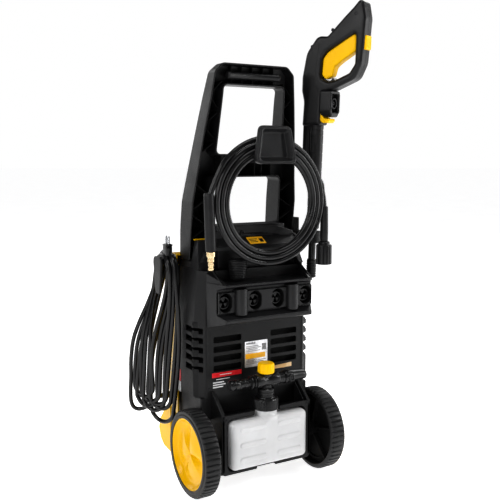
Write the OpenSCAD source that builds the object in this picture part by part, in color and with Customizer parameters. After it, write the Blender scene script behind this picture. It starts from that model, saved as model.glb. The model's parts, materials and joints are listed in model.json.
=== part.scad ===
// Upright electric pressure washer with a trolley handle, rear accessory rack and foam bottle.
// +Z is up, the user's side faces -Y, and the origin lies on the floor under the wheel axle.

/* [Wheels] */
// Outer radius of each wheel
wheel_r = 90; // [85:1:95]
// Width of each wheel
wheel_w = 36; // [30:1:36]
// Distance from the centre plane to a wheel's outer face
wheel_out = 169.5; // [168:0.5:172]
// Radius of the steel axle
axle_r = 6; // [5:0.5:6.5]

/* [Body] */
// Half width of the casing at its widest
body_half = 136; // [132:1:138]
// Depth position of the casing's rear face
rear_y = 8; // [6:1:10]
// Depth position of the seam between the rear and front shells
seam_y = 115; // [110:1:120]
// Depth position of the front face
front_y = 196; // [192:1:198]
// Wall thickness of the moulded casing
wall = 3; // [2.5:0.1:3.5]
// Height of the seam between base and casing
base_top = 196; // [190:1:198]
// Half width of the base between the wheels
base_half = 108; // [104:1:110]

/* [Handle] */
// Height of the top of the handle
handle_top = 881; // [870:1:890]
// Wall thickness of the handle's channel section
channel_wall = 3; // [2.5:0.1:4]

/* [Hose] */
// Outside diameter of the high-pressure hose
hose_d = 10.5; // [9:0.5:11]
// Height of the middle of the hose coil
coil_z = 602; // [595:1:606]
// Outer radius of the hose coil
coil_out = 129; // [125:1:130]
// Inner radius of the hose coil
coil_in = 95; // [95:1:98]
// Diameter of the mains cord
cord_d = 7; // [6:0.5:8]

/* [Accessories] */
// Half width of the foam bottle
bottle_half = 92; // [88:1:93]
// Bore radius of each nozzle socket in the rack
socket_r = 9; // [8:0.5:9.5]

/* [Gun] */
// Half thickness of the trigger gun
gun_half = 19; // [17:0.5:20]
// Turn of the gun about its barrel, away from the centre plane
gun_turn = 65; // [60:1:70]
// Backward lean of the stored gun
gun_lean = 2.9; // [2.5:0.1:3.2]

/* [Hidden] */
$fn = 48;

wheel_in = wheel_out - wheel_w;
joint_gap = 0.05;
// Water connections, mains cord gland and main switch
port_x = 45;
port_z = 150;
gland_y = 178;
gland_z = 160;
switch_z = 400;
black = [0.10, 0.10, 0.11];
dark = [0.16, 0.16, 0.17];
amber = [1.0, 0.72, 0.04];
steel = [0.72, 0.73, 0.75];
brass = [0.83, 0.66, 0.33];
milk = [0.93, 0.93, 0.92];

// ---- shared shapes -------------------------------------------------------------------------

module box(low, high) translate(low) cube(high - low);

// A prism along Z from an outline of [x, y] points
module z_prism(points, z0, z1) translate([0, 0, z0]) linear_extrude(z1 - z0) polygon(points);

// A prism along X from an outline of [y, z] points
module x_prism(points, x0, x1)
    translate([x0, 0, 0]) rotate([90, 0, 90]) linear_extrude(x1 - x0) polygon(points);

// A prism along Y from an outline of [x, z] points
module y_prism(points, y0, y1)
    translate([0, y1, 0]) rotate([90, 0, 0]) linear_extrude(y1 - y0) polygon(points);

// Round bars along X and Y
module x_rod(r, x0, x1, y, z) translate([x0, y, z]) rotate([0, 90, 0]) cylinder(r = r, h = x1 - x0);
module y_rod(r, y0, y1, x, z) translate([x, y1, z]) rotate([90, 0, 0]) cylinder(r = r, h = y1 - y0);

// A vertical tube
module ring(r_out, r_in, z0, z1)
    translate([0, 0, z0]) difference() {
        cylinder(r = r_out, h = z1 - z0);
        translate([0, 0, -1]) cylinder(r = r_in, h = z1 - z0 + 2);
    }

module both_sides() {
    children();
    mirror([1, 0, 0]) children();
}

// An outline of [x, z] points mirrored to the other side of the centre plane
function mirrored(side) = concat(side, [for (i = [len(side) - 1:-1:0]) [-side[i][0], side[i][1]]]);

// A round tube swept along route points, with a ring of `sides` corners at each point
function unit(v) = v / norm(v);
function heading(p, i) = unit(p[min(i + 1, len(p) - 1)] - p[max(i - 1, 0)]);
function ring_at(c, dir, ref, r, sides) =
    let (u = unit(cross(dir, ref)), w = cross(dir, u))
    [for (k = [0:sides - 1]) c + r * (cos(360 * k / sides) * u + sin(360 * k / sides) * w)];

module tube(route, r, ref, sides = 10) {
    n = len(route);
    points = [for (i = [0:n - 1]) each ring_at(route[i], heading(route, i), ref, r, sides)];
    skin = [for (i = [0:n - 2]) for (k = [0:sides - 1])
        [(i + 1) * sides + k, (i + 1) * sides + (k + 1) % sides,
         i * sides + (k + 1) % sides, i * sides + k]];
    polyhedron(points, concat(skin, [
        [for (k = [0:sides - 1]) k],
        [for (k = [sides - 1:-1:0]) (n - 1) * sides + k]
    ]), convexity = 6);
}

// ---- base ----------------------------------------------------------------------------------

tray_y = -40;
tray_top = 171;
base_low = 43;
base_front = 190;
bay_half = 95;

module base() color(black) {
    difference() {
        union() {
            x_prism([[tray_y, base_low], [tray_y, tray_top], [rear_y - 0.5, 212], [rear_y - 0.5, base_top],
                     [base_front, base_top], [base_front, base_low]], -base_half, base_half);
            both_sides() x_rod(15, base_half - 1, wheel_in - 3, 0, wheel_r);
        }
        // bottle bay and the open tray above it
        box([-bay_half, tray_y - 1, 50], [bay_half, -11, 161]);
        box([-base_half + 7, -34, 155], [base_half - 7, 14, 230]);
        // gap in the ledge for the bottle's neck, and the notch in the lower edge
        box([-30, tray_y - 1, 150], [30, -30, 180]);
        box([-25, tray_y - 1, base_low - 1], [20, -30, 50.5]);
        // motor and pump bay
        box([-base_half + 7, 20, 50], [base_half - 7, base_front - 6, base_top + 1]);
        // ways through for the inlet and the outlet
        for (x = [-port_x, port_x]) y_rod(17, base_front - 8, base_front + 1, x, port_z);
        x_rod(axle_r, -base_half - 40, base_half + 40, 0, wheel_r);
    }
    // pillars under the pump
    for (x = [-50, 50]) for (y = [60, 140]) translate([x, y, 50]) cylinder(r = 8, h = 80);
}

module axle() color(steel) {
    x_rod(axle_r, -wheel_out + 12, wheel_out - 12, 0, wheel_r);
}

module front_feet() color(dark)
    both_sides() translate([85, 232, 0]) {
        cylinder(r = 15, h = 12);
        translate([0, 0, 12]) cylinder(r = 8, h = 10);
    }

// ---- casing --------------------------------------------------------------------------------

neck_z = 366;
shell_top = 463;

function rear_outline(half, inset, y_end) = mirrored([
    [half - 15 - inset * 0.6, rear_y + inset], [half - inset, rear_y + 20 + inset * 0.5],
    [half - inset, y_end]
]);

module rear_solid(inset, z0, z1, y_end) {
    z_prism(rear_outline(body_half, inset, y_end), z0, neck_z);
    hull() {
        z_prism(rear_outline(body_half, inset, y_end), neck_z - 1, neck_z);
        z_prism(rear_outline(body_half - 7, inset, y_end), z1 - 1, z1);
    }
}

well_floor = 441;
vent_pitch = 20.2;

module rear_shell() color(black)
    difference() {
        union() {
            difference() {
                rear_solid(0, base_top + 0.2, shell_top, seam_y);
                rear_solid(wall, base_top - 1, shell_top - wall, seam_y + 1);
            }
            // floor of the well
            box([-103, rear_y + 1, well_floor - wall], [103, 41, well_floor]);
        }
        // louvres in the rear face
        for (side = [-1, 1]) for (i = [0:3])
            translate([side * 69 - 33, rear_y - 1, 251 + i * vent_pitch]) cube([66, wall + 2, 13]);
        // louvres that wrap the corners
        for (side = [-1, 1]) for (i = [0:4])
            translate([side * (body_half - 2) - 11, rear_y + 4, 251 + i * vent_pitch]) cube([22, 58, 13]);
        // open well behind the rack
        box([-100, rear_y - 1, well_floor], [100, 38, shell_top + 1]);
    }

// Side view of the front shell and of the hollows inside its upper part and its nose, as [y, z]
front_profile = [
    [seam_y, 132], [seam_y, 488], [148, 488], [front_y - 4, 470], [front_y, 440], [front_y + 1, 132],
    [238, 102], [266, 74], [275, 50], [262, 27], [240, 17], [192, 17], [192, 132]
];
upper_hollow = [
    [seam_y - 1, 131], [seam_y - 1, 485], [147, 485], [front_y - 6, 467.5], [front_y - 3, 440],
    [front_y - 2.5, 131]
];
nose_hollow = [
    [195, 129], [235.5, 100], [263, 73], [271.5, 51], [260, 30], [239, 20.5], [195, 20.5]
];

function front_outline(inset) = mirrored([
    [body_half - inset, seam_y - 2], [body_half - 6 - inset, 150], [120 - inset, front_y - inset * 0.5],
    [113 - inset, 290]
]);

module front_shell() color(amber)
    difference() {
        intersection() {
            x_prism(front_profile, -body_half, body_half);
            z_prism(front_outline(0), 0, 500);
        }
        for (hollow = [upper_hollow, nose_hollow]) intersection() {
            x_prism(hollow, -body_half, body_half);
            z_prism(front_outline(wall), -1, 501);
        }
        for (x = [-port_x, port_x]) y_rod(17, front_y - 10, front_y + 10, x, port_z);
        y_rod(21, front_y - 10, front_y + 10, 0, switch_z);
        both_sides() translate([85, 232, 10]) cylinder(r = 8, h = 12);
        // way out for the mains cord
        x_rod(8, -130, -100, gland_y, gland_z);
    }

module front_panel() color(black)
    difference() {
        y_prism(mirrored([[46, 200], [62, 216], [62, 420], [46, 436]]), front_y + 1.2, front_y + 4);
        y_rod(21, front_y, front_y + 6, 0, switch_z);
        for (i = [0:5]) translate([-36, front_y, 240 + i * 18]) cube([72, 6, 7]);
    }

module hood() color(dark) {
    // back wall of the well
    box([-99.8, 35, well_floor + 0.2], [99.8, 37.8, 475]);
    difference() {
        union() {
            // hump between the handle's feet
            x_prism([[24, shell_top + 0.2], [24, 530], [30, 552], [80, 552], [140, 520], [150, 489],
                     [seam_y - 0.5, 489], [seam_y - 0.5, shell_top + 0.2]], -82.5, 82.5);
            // deck that overhangs the well
            x_prism([[-6, 505], [-6, 512], [26, 530], [26, 505]], -106, 106);
            // sloped flanks at the handle's feet
            both_sides() hull() {
                box([100.2, rear_y + 14, shell_top + 0.2], [body_half - 8, 60, shell_top + 1]);
                box([100.2, 44, 520], [body_half - 18, 60, 522]);
            }
            both_sides() box([82, 37, shell_top + 0.2], [101, 60, 522]);
        }
        x_prism([[27.5, shell_top - 1], [27.5, 528], [33, 548.5], [78, 548.5], [seam_y - 4, 530],
                 [seam_y - 4, shell_top - 1]], -79, 79);
        // screw pockets
        for (x = [-60, 60]) y_rod(4, 10, 28, x, 540);
    }
}

module rack_profile(x0, x1)
    x_prism([[rear_y - 0.2, 348], [-46, 361], [-50, 364], [-50, 370], [-30, 378], [-30, 380],
             [-36, 382], [-36, 424], [-30, 427], [-30, 430], [-50, 436], [-50, 441],
             [rear_y - 0.2, 441]], x0, x1);

module accessory_rack() color(dark)
    difference() {
        union() {
            intersection() {
                rack_profile(-120, 120);
                z_prism(mirrored([[102, -51], [113, -34], [118, rear_y]]), 340, 450);
            }
            // raised ends of the tray
            both_sides() x_prism([[-46, 441], [rear_y - 0.2, 457], [rear_y - 0.2, 441]], 104, 110);
            // half-round pillars between the sockets
            for (x = [-61.5, 61.5]) translate([x, -34, 375]) cylinder(r = 14, h = 58);
        }
        // pill-shaped recesses
        for (x = [-96, -27, 27, 96]) {
            y_rod(15, -60, -10, x, 396);
            y_rod(15, -60, -10, x, 408);
            box([x - 15, -60, 396], [x + 15, -10, 408]);
        }
        // hollow back
        box([-108, -6.5, 364], [108, rear_y, 435]);
    }

module rack_sockets() color(black)
    for (x = [-96, -27, 27, 96]) difference() {
        y_rod(14.7, -32, -10.3, x, 402);
        y_rod(socket_r, -33, -12.5, x, 402);
    }

module rating_plate() color(steel) box([-28, rear_y - 0.9, 249.5], [28, rear_y - 0.05, 306]);

module casing_screws() color(steel) {
    both_sides() {
        y_rod(3.4, rear_y - 2.6, rear_y - 0.1, 112, 214);
        y_rod(3.4, tray_y - 2, tray_y - 0.1, 101, 164);
    }
}

// ---- handle, hooks and holders ---------------------------------------------------------------

// Side view of the handle: rear and front edges as [y, z] from the foot to the top
handle_rear = [[69, 480], [60, 545], [51, 608], [45, 650], [28, 750], [17, 811], [8, handle_top]];
handle_front = [[36, handle_top], [57, 811], [70, 750], [95, 650], [104, 608], [113, 545], [114, 480]];

// Half of the handle's outline seen from the rear, as [x, z], drawn in by e
function handle_half(e) = [
    [127 - e, 480], [126 - e, 600], [120 - e, 650], [108.5 - e, 750], [100 - e, 811],
    [94 - e, 858], [87 - e, 873 - e * 0.6], [74 - e * 0.5, handle_top - e]
];
// Half of the upper window and of the gap between the legs, grown by e
function window_half(e) = [[77.5 + e, 700 - e], [70.5 + e, 838 + e]];
function gap_half(e) = [[87 + e, 470], [80 + e, 652 + e]];

// The side view as a prism, with its rear edge moved out and its front edge moved in
module handle_side(rear_out, front_in)
    x_prism(concat([for (p = handle_rear) [p[0] - rear_out, p[1]]],
                   [for (p = handle_front) [p[0] - front_in, p[1]]]), -140, 140);

module handle_outline(e) difference() {
    y_prism(mirrored(handle_half(e)), -40, 160);
    y_prism(mirrored(window_half(e)), -41, 161);
    y_prism(mirrored(gap_half(e)), -41, 161);
}

module handle_frame() color(black) {
    difference() {
        intersection() {
            handle_side(0, 0);
            handle_outline(0);
        }
        difference() {
            intersection() {
                handle_side(30, channel_wall);
                handle_outline(channel_wall);
            }
            // slanting ribs inside the channels
            both_sides() for (i = [0:9])
                translate([101, 60, 520 + i * 32]) rotate([0, i % 2 == 0 ? 32 : -32, 0])
                    cube([70, 160, 1.8], center = true);
        }
    }
}

module handle_grip() color(dark)
    intersection() {
        x_rod(8, -62, 62, 20, 857);
        box([-70, 8, 840], [70, 26, 880]);
    }

hook_low = 680;
module hose_hook() color(dark) {
    // arm that the coil hangs on
    difference() {
        box([-28, -74, hook_low + 2], [28, 44, 692]);
        box([-25, -73, hook_low + 1], [25, 43, 688.5]);
    }
    // dished face plate
    difference() {
        hull() {
            y_prism(mirrored([[34, 754], [40, 748]]), -78, -72);
            y_prism(mirrored([[42, hook_low], [48, hook_low + 8]]), -86, -74);
        }
        hull() {
            y_prism(mirrored([[24, 744], [29, 739]]), -80, -75.5);
            y_prism(mirrored([[31, hook_low + 9], [36, hook_low + 15]]), -88, -79);
        }
    }
}

hank_turn = 17;
module cord_hook() color(black) {
    z_prism([[-170, 108], [-170, 142], [-131.4, 142], [-body_half, 116.5], [-body_half, 108]], 468, 474);
    hull() {
        box([-176, 104, 474], [-170, 146, 484]);
        box([-174.5, 112, 404], [-170, 138, 410]);
    }
}

module gun_holder() color(black)
    difference() {
        union() {
            box([127.2, 60, 498], [142, 100, 560]);
            hull() {
                box([127.2, 62, 505], [142, 98, 530]);
                translate([160, 32.5, 505]) cylinder(r = 20, h = 25);
            }
        }
        translate([160, 32.5, 490]) cylinder(r = 13, h = 60);
        // mouth towards the outside
        box([160, 20, 490], [190, 26, 560]);
    }

// ---- electrical parts ------------------------------------------------------------------------

module switch_housing() color(black) {
    difference() {
        box([-24, 150, 374], [24, front_y - 4, 424]);
        y_rod(6.2, 175, front_y, 0, switch_z);
    }
}

module switch_knob() color(amber) {
    y_rod(6, 178, front_y + 4, 0, switch_z);
    y_rod(19, front_y + 4, front_y + 14, 0, switch_z);
    box([-4, front_y + 14, 384], [4, front_y + 24, 416]);
}

module capacitor() color(dark) translate([-98, 62, 260]) cylinder(r = 18, h = 72);

module cord_gland() color(black) {
    x_rod(7.7, -126, -110, gland_y, gland_z);
    x_rod(11, -117, -113, gland_y, gland_z);
    translate([-126, gland_y, gland_z]) rotate([0, -90, 0]) cylinder(r1 = 7.7, r2 = 5, h = 26);
}

// ---- motor and pump --------------------------------------------------------------------------

motor_y = 100;
shaft_r = 6;

module at_motor() translate([0, motor_y, 0]) children();

stator_r = 46;
bearing_r = 16;
stator_top = 342;

// Laminations with an end plate below and a bracket above, which hold the bearings
module motor_stator() color(steel) at_motor() {
    ring(stator_r, 28.5, 262, stator_top);
    ring(stator_r, bearing_r + joint_gap, 250, 262);
    difference() {
        box([-stator_r + 2, -20, stator_top - 1], [stator_r - 2, 20, stator_top + 9]);
        translate([0, 0, stator_top - 2]) cylinder(r = bearing_r + joint_gap, h = 12);
    }
}

module motor_bearings() color(steel) at_motor() {
    ring(bearing_r, shaft_r, 250, 260);
    ring(bearing_r, shaft_r, stator_top, stator_top + 9);
}

module motor_shaft() color(steel) at_motor() translate([0, 0, 206]) cylinder(r = shaft_r - 0.04, h = 196);

module motor_rotor() color(brass) at_motor() ring(28, shaft_r, 268, stator_top - 6);

module motor_fan() color(dark) at_motor() {
    ring(12, shaft_r, 380, 398);
    for (a = [0:40:320]) rotate(a) translate([11.5, -1, 380]) cube([33, 2, 16]);
}

// Its slanted lower face drives the pistons
module swash_plate() color(steel) at_motor() difference() {
    ring(36, shaft_r, 206, 228);
    translate([0, 0, 213]) rotate([0, 8, 0]) translate([-60, -60, -30]) cube([120, 120, 30]);
}

module pump_body() color(steel) at_motor() difference() {
    ring(50, 16.5, 170.2, 249.5);
    translate([0, 0, 176]) cylinder(r = 43, h = 66);
    for (a = [30, 150, 270]) rotate(a) translate([24, 0, 169]) cylinder(r = 7.05, h = 10);
}

module pistons() color(steel) at_motor()
    for (a = [30, 150, 270]) rotate(a) translate([24, 0, 0]) {
        translate([0, 0, 171]) cylinder(r = 7, h = 32);
        translate([0, 0, 203]) cylinder(r = 10, h = 3);
    }

module piston_springs() color(steel) at_motor()
    for (a = [30, 150, 270]) rotate(a) translate([24, 0, 0]) ring(9.5, 7.6, 176.2, 202.8);

module pump_head() color(brass) difference() {
    box([-62, 50, 130.2], [62, 150, 170]);
    for (x = [-port_x, port_x]) y_rod(8, 120, 151, x, port_z);
}

module pressure_switch() color(black) {
    box([-20, 152, 132], [20, 176, 172]);
    y_rod(6, 150.2, 152, 0, 150);
}

// A hollow union that passes through the front shell, with a collar inside it
module union_fitting(x, r, length) difference() {
    union() {
        y_rod(r, union_y - 1, union_y + length, x, port_z);
        y_rod(9.5, 150.2, 161, x, port_z);
        y_rod(16, 160, union_y, x, port_z);
    }
    y_rod(6, 149, union_y + length + 1, x, port_z);
}

union_y = 202;
module inlet_fitting() color(black) union_fitting(-port_x, 13.2, 22);
module outlet_fitting() color(brass) union_fitting(port_x, 11, 18);

// ---- wheels ----------------------------------------------------------------------------------

module wheel() translate([wheel_in, 0, wheel_r]) rotate([0, 90, 0]) difference() {
    union() {
        rotate_extrude($fn = 96) polygon([[77, 0], [88, 0], [wheel_r, 3], [wheel_r, wheel_w - 3],
                                          [88, wheel_w], [77, wheel_w]]);
        translate([0, 0, 14]) cylinder(r = 77.5, h = 4, $fn = 96);
        translate([0, 0, -2]) cylinder(r = 15, h = 24);
        for (a = [0:60:300]) rotate(a) translate([14, -1.5, 4]) cube([64, 3, 11]);
    }
    translate([0, 0, -3]) cylinder(r = axle_r + joint_gap, h = 40);
}

// Dished cap that fills the wheel's outer side
module hubcap() translate([wheel_in, 0, wheel_r]) rotate([0, 90, 0])
    rotate_extrude($fn = 96) polygon([
        [0, 26], [0, 31], [20, 31], [48, 26], [66, 30], [70, 35.5], [76.8, 35.5], [76.8, 18.2],
        [73, 18.2], [73, 30], [48, 22.5], [20, 26]
    ]);

module right_wheel() color(black) wheel();
module right_hubcap() color(amber) hubcap();
module left_wheel() color(black) mirror([1, 0, 0]) wheel();
module left_hubcap() color(amber) mirror([1, 0, 0]) hubcap();

// ---- foam set --------------------------------------------------------------------------------

foam_y = -33;
lance_z = 230;

module foam_bottle() color(milk) {
    difference() {
        union() {
            z_prism(mirrored([[bottle_half - 11, -57], [bottle_half - 3, -54], [bottle_half, -46],
                              [bottle_half, -12]]), 50.3, 157);
            translate([0, foam_y, 156]) cylinder(r = 23, h = 34);
        }
        z_prism(mirrored([[bottle_half - 12, -54.5], [bottle_half - 2.5, -45], [bottle_half - 2.5, -14.5]]),
                53, 154.5);
        translate([0, foam_y, 150]) cylinder(r = 20.5, h = 42);
    }
}

module foam_collar() color(black) translate([0, foam_y, 0]) {
    ring(26, 23.3, 170, 190.2);
    ring(26, 8, 190.2, 194);
    ring(18, 8, 194, 214);
}

module foam_lance_body() color(black) difference() {
    union() {
        translate([0, foam_y, 214.2]) cylinder(r = 13, h = 8);
        x_rod(15, -24, 28, foam_y, lance_z);
        x_rod(12, -40, -24, foam_y, lance_z);
        x_rod(9, -62, -40, foam_y, lance_z);
        x_rod(11, -88, -62, foam_y, lance_z);
        x_rod(12, 28, 42, foam_y, lance_z);
        translate([0, foam_y, 240]) cylinder(r = 9, h = 6);
    }
    x_rod(5, -89, -20, foam_y, lance_z);
}

module foam_knob() color(amber) translate([0, foam_y, 246.3]) {
    cylinder(r = 18, h = 22);
}

module foam_nozzle() color(black) difference() {
    union() {
        x_rod(14, 42.3, 62, foam_y, lance_z);
        translate([62, foam_y, lance_z]) rotate([0, 90, 0]) cylinder(r1 = 14, r2 = 11, h = 34);
    }
    x_rod(6, 70, 97, foam_y, lance_z);
}

module turbo_nozzle() color(black) translate([-51, -4, 441.3]) {
    cylinder(r1 = 15, r2 = 19.5, h = 7);
    translate([0, 0, 7]) cylinder(r = 19.5, h = 27);
}

// ---- trigger gun: drawn with its barrel along Z and its grip towards +X ------------------------

gun_at = [160, 20, 767];
module gun() translate(gun_at) rotate([gun_lean, 0, 0]) rotate([0, 0, -gun_turn]) children();

gun_outline = [
    [-15, -100], [-28, -92], [-28, 0], [-26, 45], [-32, 68], [-32, 97], [-23, 148], [3, 182],
    [26, 180], [64, 217], [85, 236], [98, 250], [107, 246], [114, 214], [113, 199], [111, 158],
    [109, 123], [95, 92], [44, 70], [15, 66], [15, 0], [-13.5, 0], [-13.5, -100]
];
finger_window = [
    [92, 184], [94, 176], [94, 120], [82, 103], [46, 84], [28, 80], [17, 92], [12, 104], [16, 138],
    [26, 150]
];
trigger_well = [
    [14, 158], [4, 142], [2, 108], [4, 90], [20, 82], [60, 150], [98, 174], [93, 200], [80, 206],
    [50, 186]
];
trigger_shape = [
    [20, 94], [12, 104], [14, 136], [24, 148], [84, 184], [91, 178], [90, 160], [48, 134], [36, 104]
];

// One half of the gun's casing, on the +Y side
module gun_half_shell() difference() {
    y_prism(gun_outline, 0, gun_half);
    y_prism(finger_window, -1, gun_half + 1);
    y_prism(trigger_well, -1, 11);
    // barrel tube, valve and port room
    translate([0, 0, -101]) cylinder(r = 15.3, h = 102);
    translate([0, 0, 0.5]) cylinder(r = 9.2, h = 64);
    box([8, -1, 30], [14, 9.3, 48]);
    box([14, -1, 6], [44, 17.5, 71]);
    // lock's pocket in the guard
    box([103, -1, 150], [120, 12.3, 184]);
}

module gun_shell_right() color(black) gun() gun_half_shell();
module gun_shell_left() color(black) gun() mirror([0, 1, 0]) gun_half_shell();

module gun_port() color(dark) gun() difference() {
    box([15.2, -17.2, 14], [43.7, 17.2, 69]);
    translate([20, 0, 42]) rotate([0, 90, 0]) cylinder(r = 6.1, h = 30);
}

module gun_valve() color(brass) gun() {
    translate([0, 0, 0.8]) cylinder(r = 9, h = 62);
    translate([9.5, 0, 39]) rotate([0, 90, 0]) cylinder(r = 4, h = 4);
}

module gun_barrel() color(dark) gun() {
    translate([0, 0, -230]) cylinder(r1 = 13.6, r2 = 15, h = 230);
    translate([0, 0, -300]) cylinder(r = 8, h = 70);
    translate([0, 0, -342]) cylinder(r = 11, h = 42);
}

module gun_trigger() color(amber) gun() y_prism(trigger_shape, -10, 10);

module gun_lock() color(amber) gun() box([104.5, -12, 151], [115.5, 12, 179]);

module gun_release() color(amber) gun() {
    box([16, -12, 3], [40, 12, 10]);
}

// ---- hose and mains cord -----------------------------------------------------------------------

hose_y = -38;

// Centre points of the two free ends of the hose
hose_left = [[-106, hose_y, 660], [-118, hose_y, 652], [-130, hose_y, 642], [-137, hose_y, 632],
             [-140, hose_y, 622], [-139, hose_y, 570], [-137, hose_y, 510]];
hose_right = [[106, hose_y, 660], [120, hose_y, 646], [131, hose_y, 630], [137, hose_y, 612],
              [140, hose_y, 596], [141, hose_y, 560], [141, hose_y, 516]];

module hose_coil() color(dark) translate([0, hose_y, coil_z]) rotate([90, 0, 0])
    rotate_extrude($fn = 96) translate([coil_in, -13]) square([coil_out - coil_in, 26]);

module hose_tails() color(dark) {
    tube(hose_left, hose_d / 2, [0, 1, 0]);
    tube(hose_right, hose_d / 2, [0, 1, 0]);
}

module hose_sleeves() color(dark) {
    translate([-137, hose_y, 509.8]) rotate([0, -1.5, 0]) cylinder(r = 10, h = 108);
    translate([141, hose_y, 515.6]) cylinder(r = 8.5, h = 74);
}

module hose_plug() color(brass) translate([-137, hose_y, 0]) {
    translate([0, 0, 499]) cylinder(r = 9, h = 10.5);
    translate([0, 0, 490]) cylinder(r = 7, h = 9);
    translate([0, 0, 472]) cylinder(r = 5.9, h = 18);
}

module hose_nut() color(black) translate([141, hose_y, 0]) difference() {
    translate([0, 0, 466]) cylinder(r = 17, h = 49);
    translate([0, 0, 465]) cylinder(r = 11.2, h = 20);
    translate([0, 0, 484]) cylinder(r = 6, h = 40);
}

// Hank outline as [distance along the hank's plane, height]
hank_outline = [
    [-34, 488], [-16, 500], [8, 500], [26, 486], [60, 410], [104, 310], [140, 215], [144, 178],
    [130, 150], [100, 130], [62, 126], [30, 142], [2, 180], [-30, 250], [-44, 330], [-46, 430]
];
hank_at = [-161, 122, 0];

module cord_hank() color(dark) difference() {
    translate(hank_at) rotate([0, 0, hank_turn]) x_prism(hank_outline, -11, 11);
    box([-190, 107, 460], [-130, 143, 476]);
    box([-180, 100, 400], [-169.5, 150, 490]);
}

cord_route = [
    [-152, 178, 160], [-157, 180, 157], [-161, 185, 150], [-164, 191, 140], [-166, 197, 128],
    [-168, 202, 114], [-170, 207, 104], [-173, 213, 98], [-177, 220, 99], [-180, 226, 106],
    [-182, 230, 118], [-184, 232, 132], [-185, 233, 146], [-186, 233, 160]
];

module cord_lead() color(dark) tube(cord_route, cord_d / 2, [1, 0.6, 0]);

plug_at = [-156, 112, 500];
module plug_body() color(black) translate(plug_at) {
    cylinder(r1 = 5, r2 = 9, h = 12);
    translate([0, 0, 12]) cylinder(r = 13, h = 16);
}

module plug_pins() color(steel) translate(plug_at)
    for (y = [-6, 6]) translate([0, y, 28]) cylinder(r = 2.3, h = 19);

// ---- nodes -------------------------------------------------------------------------------------

base();
rear_shell();
front_shell();
front_panel();
hood();
accessory_rack();
rack_sockets();
rating_plate();
handle_frame();
handle_grip();
hose_hook();
cord_hook();
gun_holder();
axle();
front_feet();
casing_screws();
switch_housing();
switch_knob();
capacitor();
cord_gland();
motor_stator();
motor_bearings();
motor_shaft();
motor_rotor();
motor_fan();
swash_plate();
pump_body();
pistons();
piston_springs();
pump_head();
pressure_switch();
inlet_fitting();
outlet_fitting();
left_wheel();
left_hubcap();
right_wheel();
right_hubcap();
foam_bottle();
foam_collar();
foam_lance_body();
foam_knob();
foam_nozzle();
turbo_nozzle();
gun_shell_left();
gun_shell_right();
gun_port();
gun_valve();
gun_barrel();
gun_trigger();
gun_lock();
gun_release();
hose_coil();
hose_tails();
hose_sleeves();
hose_plug();
hose_nut();
cord_hank();
cord_lead();
plug_body();
plug_pins();
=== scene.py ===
import json
import bmesh
import bpy
from math import acos, atan2, cos, dist, hypot, pi, radians, sin, tan
from mathutils import Matrix, Vector
from mathutils.geometry import tessellate_polygon


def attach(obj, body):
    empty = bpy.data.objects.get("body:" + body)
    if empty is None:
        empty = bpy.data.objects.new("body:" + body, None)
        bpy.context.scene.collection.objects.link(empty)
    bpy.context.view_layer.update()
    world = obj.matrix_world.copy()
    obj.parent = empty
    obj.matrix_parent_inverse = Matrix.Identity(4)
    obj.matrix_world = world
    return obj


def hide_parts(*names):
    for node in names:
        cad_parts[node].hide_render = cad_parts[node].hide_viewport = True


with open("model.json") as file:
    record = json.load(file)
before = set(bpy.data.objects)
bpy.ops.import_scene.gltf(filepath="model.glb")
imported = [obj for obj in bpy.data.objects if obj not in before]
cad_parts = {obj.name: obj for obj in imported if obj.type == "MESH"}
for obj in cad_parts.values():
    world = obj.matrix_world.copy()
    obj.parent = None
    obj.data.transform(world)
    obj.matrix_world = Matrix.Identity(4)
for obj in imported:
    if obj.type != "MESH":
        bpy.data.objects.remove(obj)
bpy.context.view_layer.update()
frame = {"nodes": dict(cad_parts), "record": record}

MM = 0.001
NODES = frame["nodes"]
SLOTS = {s["node"]: s["material_slot"] for s in frame["record"]["subparts"]}


# ---- camera, floor and light ---------------------------------------------------------------------

LENS, SENSOR = 52.89, 36.0                 # millimetres
CAMERA_AT = (-0.7751, -1.3122, 0.6884)
CAMERA_YAW, CAMERA_PITCH = 29.93, 7.015    # degrees to the right of +Y, and down


def linked(name, data):
    obj = bpy.data.objects.new(name, data)
    bpy.context.scene.collection.objects.link(obj)
    return obj


def aimed(name, data, at, direction):
    """A camera or a lamp at a place, pointed along a direction."""
    obj = linked(name, data)
    obj.location = at
    obj.rotation_mode = "QUATERNION"
    obj.rotation_quaternion = direction.to_track_quat("-Z", "Y")
    return obj


def make_camera():
    data = bpy.data.cameras.new("photo_camera")
    data.lens, data.sensor_width = LENS, SENSOR
    data.clip_start, data.clip_end = 0.05, 60.0
    yaw, pitch = radians(CAMERA_YAW), radians(CAMERA_PITCH)
    look = Vector((sin(yaw) * cos(pitch), cos(yaw) * cos(pitch), -sin(pitch)))
    bpy.context.scene.camera = aimed("photo_camera", data, CAMERA_AT, look)


def area_light(name, at, target, width, height, power):
    data = bpy.data.lights.new(name, "AREA")
    data.shape, data.size, data.size_y, data.energy = "RECTANGLE", width, height, power
    aimed(name, data, at, Vector(target) - Vector(at))


WHITE = (1, 1, 1, 1)
# Area lights: name, place, target, width, height, power
LIGHTS = (("key", (-3.0, -0.1, 2.0), (0, 0.05, 0.45), 0.9, 1.8, 40),
          ("strip_left", (-2.3, -1.9, 1.5), (0, 0.0, 0.5), 0.16, 2.2, 26),
          ("strip_right", (2.3, -1.7, 1.5), (0, 0.0, 0.5), 0.18, 2.2, 34),
          ("side_right", (2.7, -0.7, 1.0), (0, 0.0, 0.45), 1.0, 1.8, 24),
          ("rim", (2.6, 1.6, 2.4), (0, 0.05, 0.6), 1.4, 1.4, 28),
          ("front", (-0.8, 3.4, 1.7), (0, 0.05, 0.5), 2.2, 2.2, 34),
          ("top", (0.1, -0.9, 3.0), (0, 0.0, 0.45), 1.6, 0.5, 26))


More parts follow.
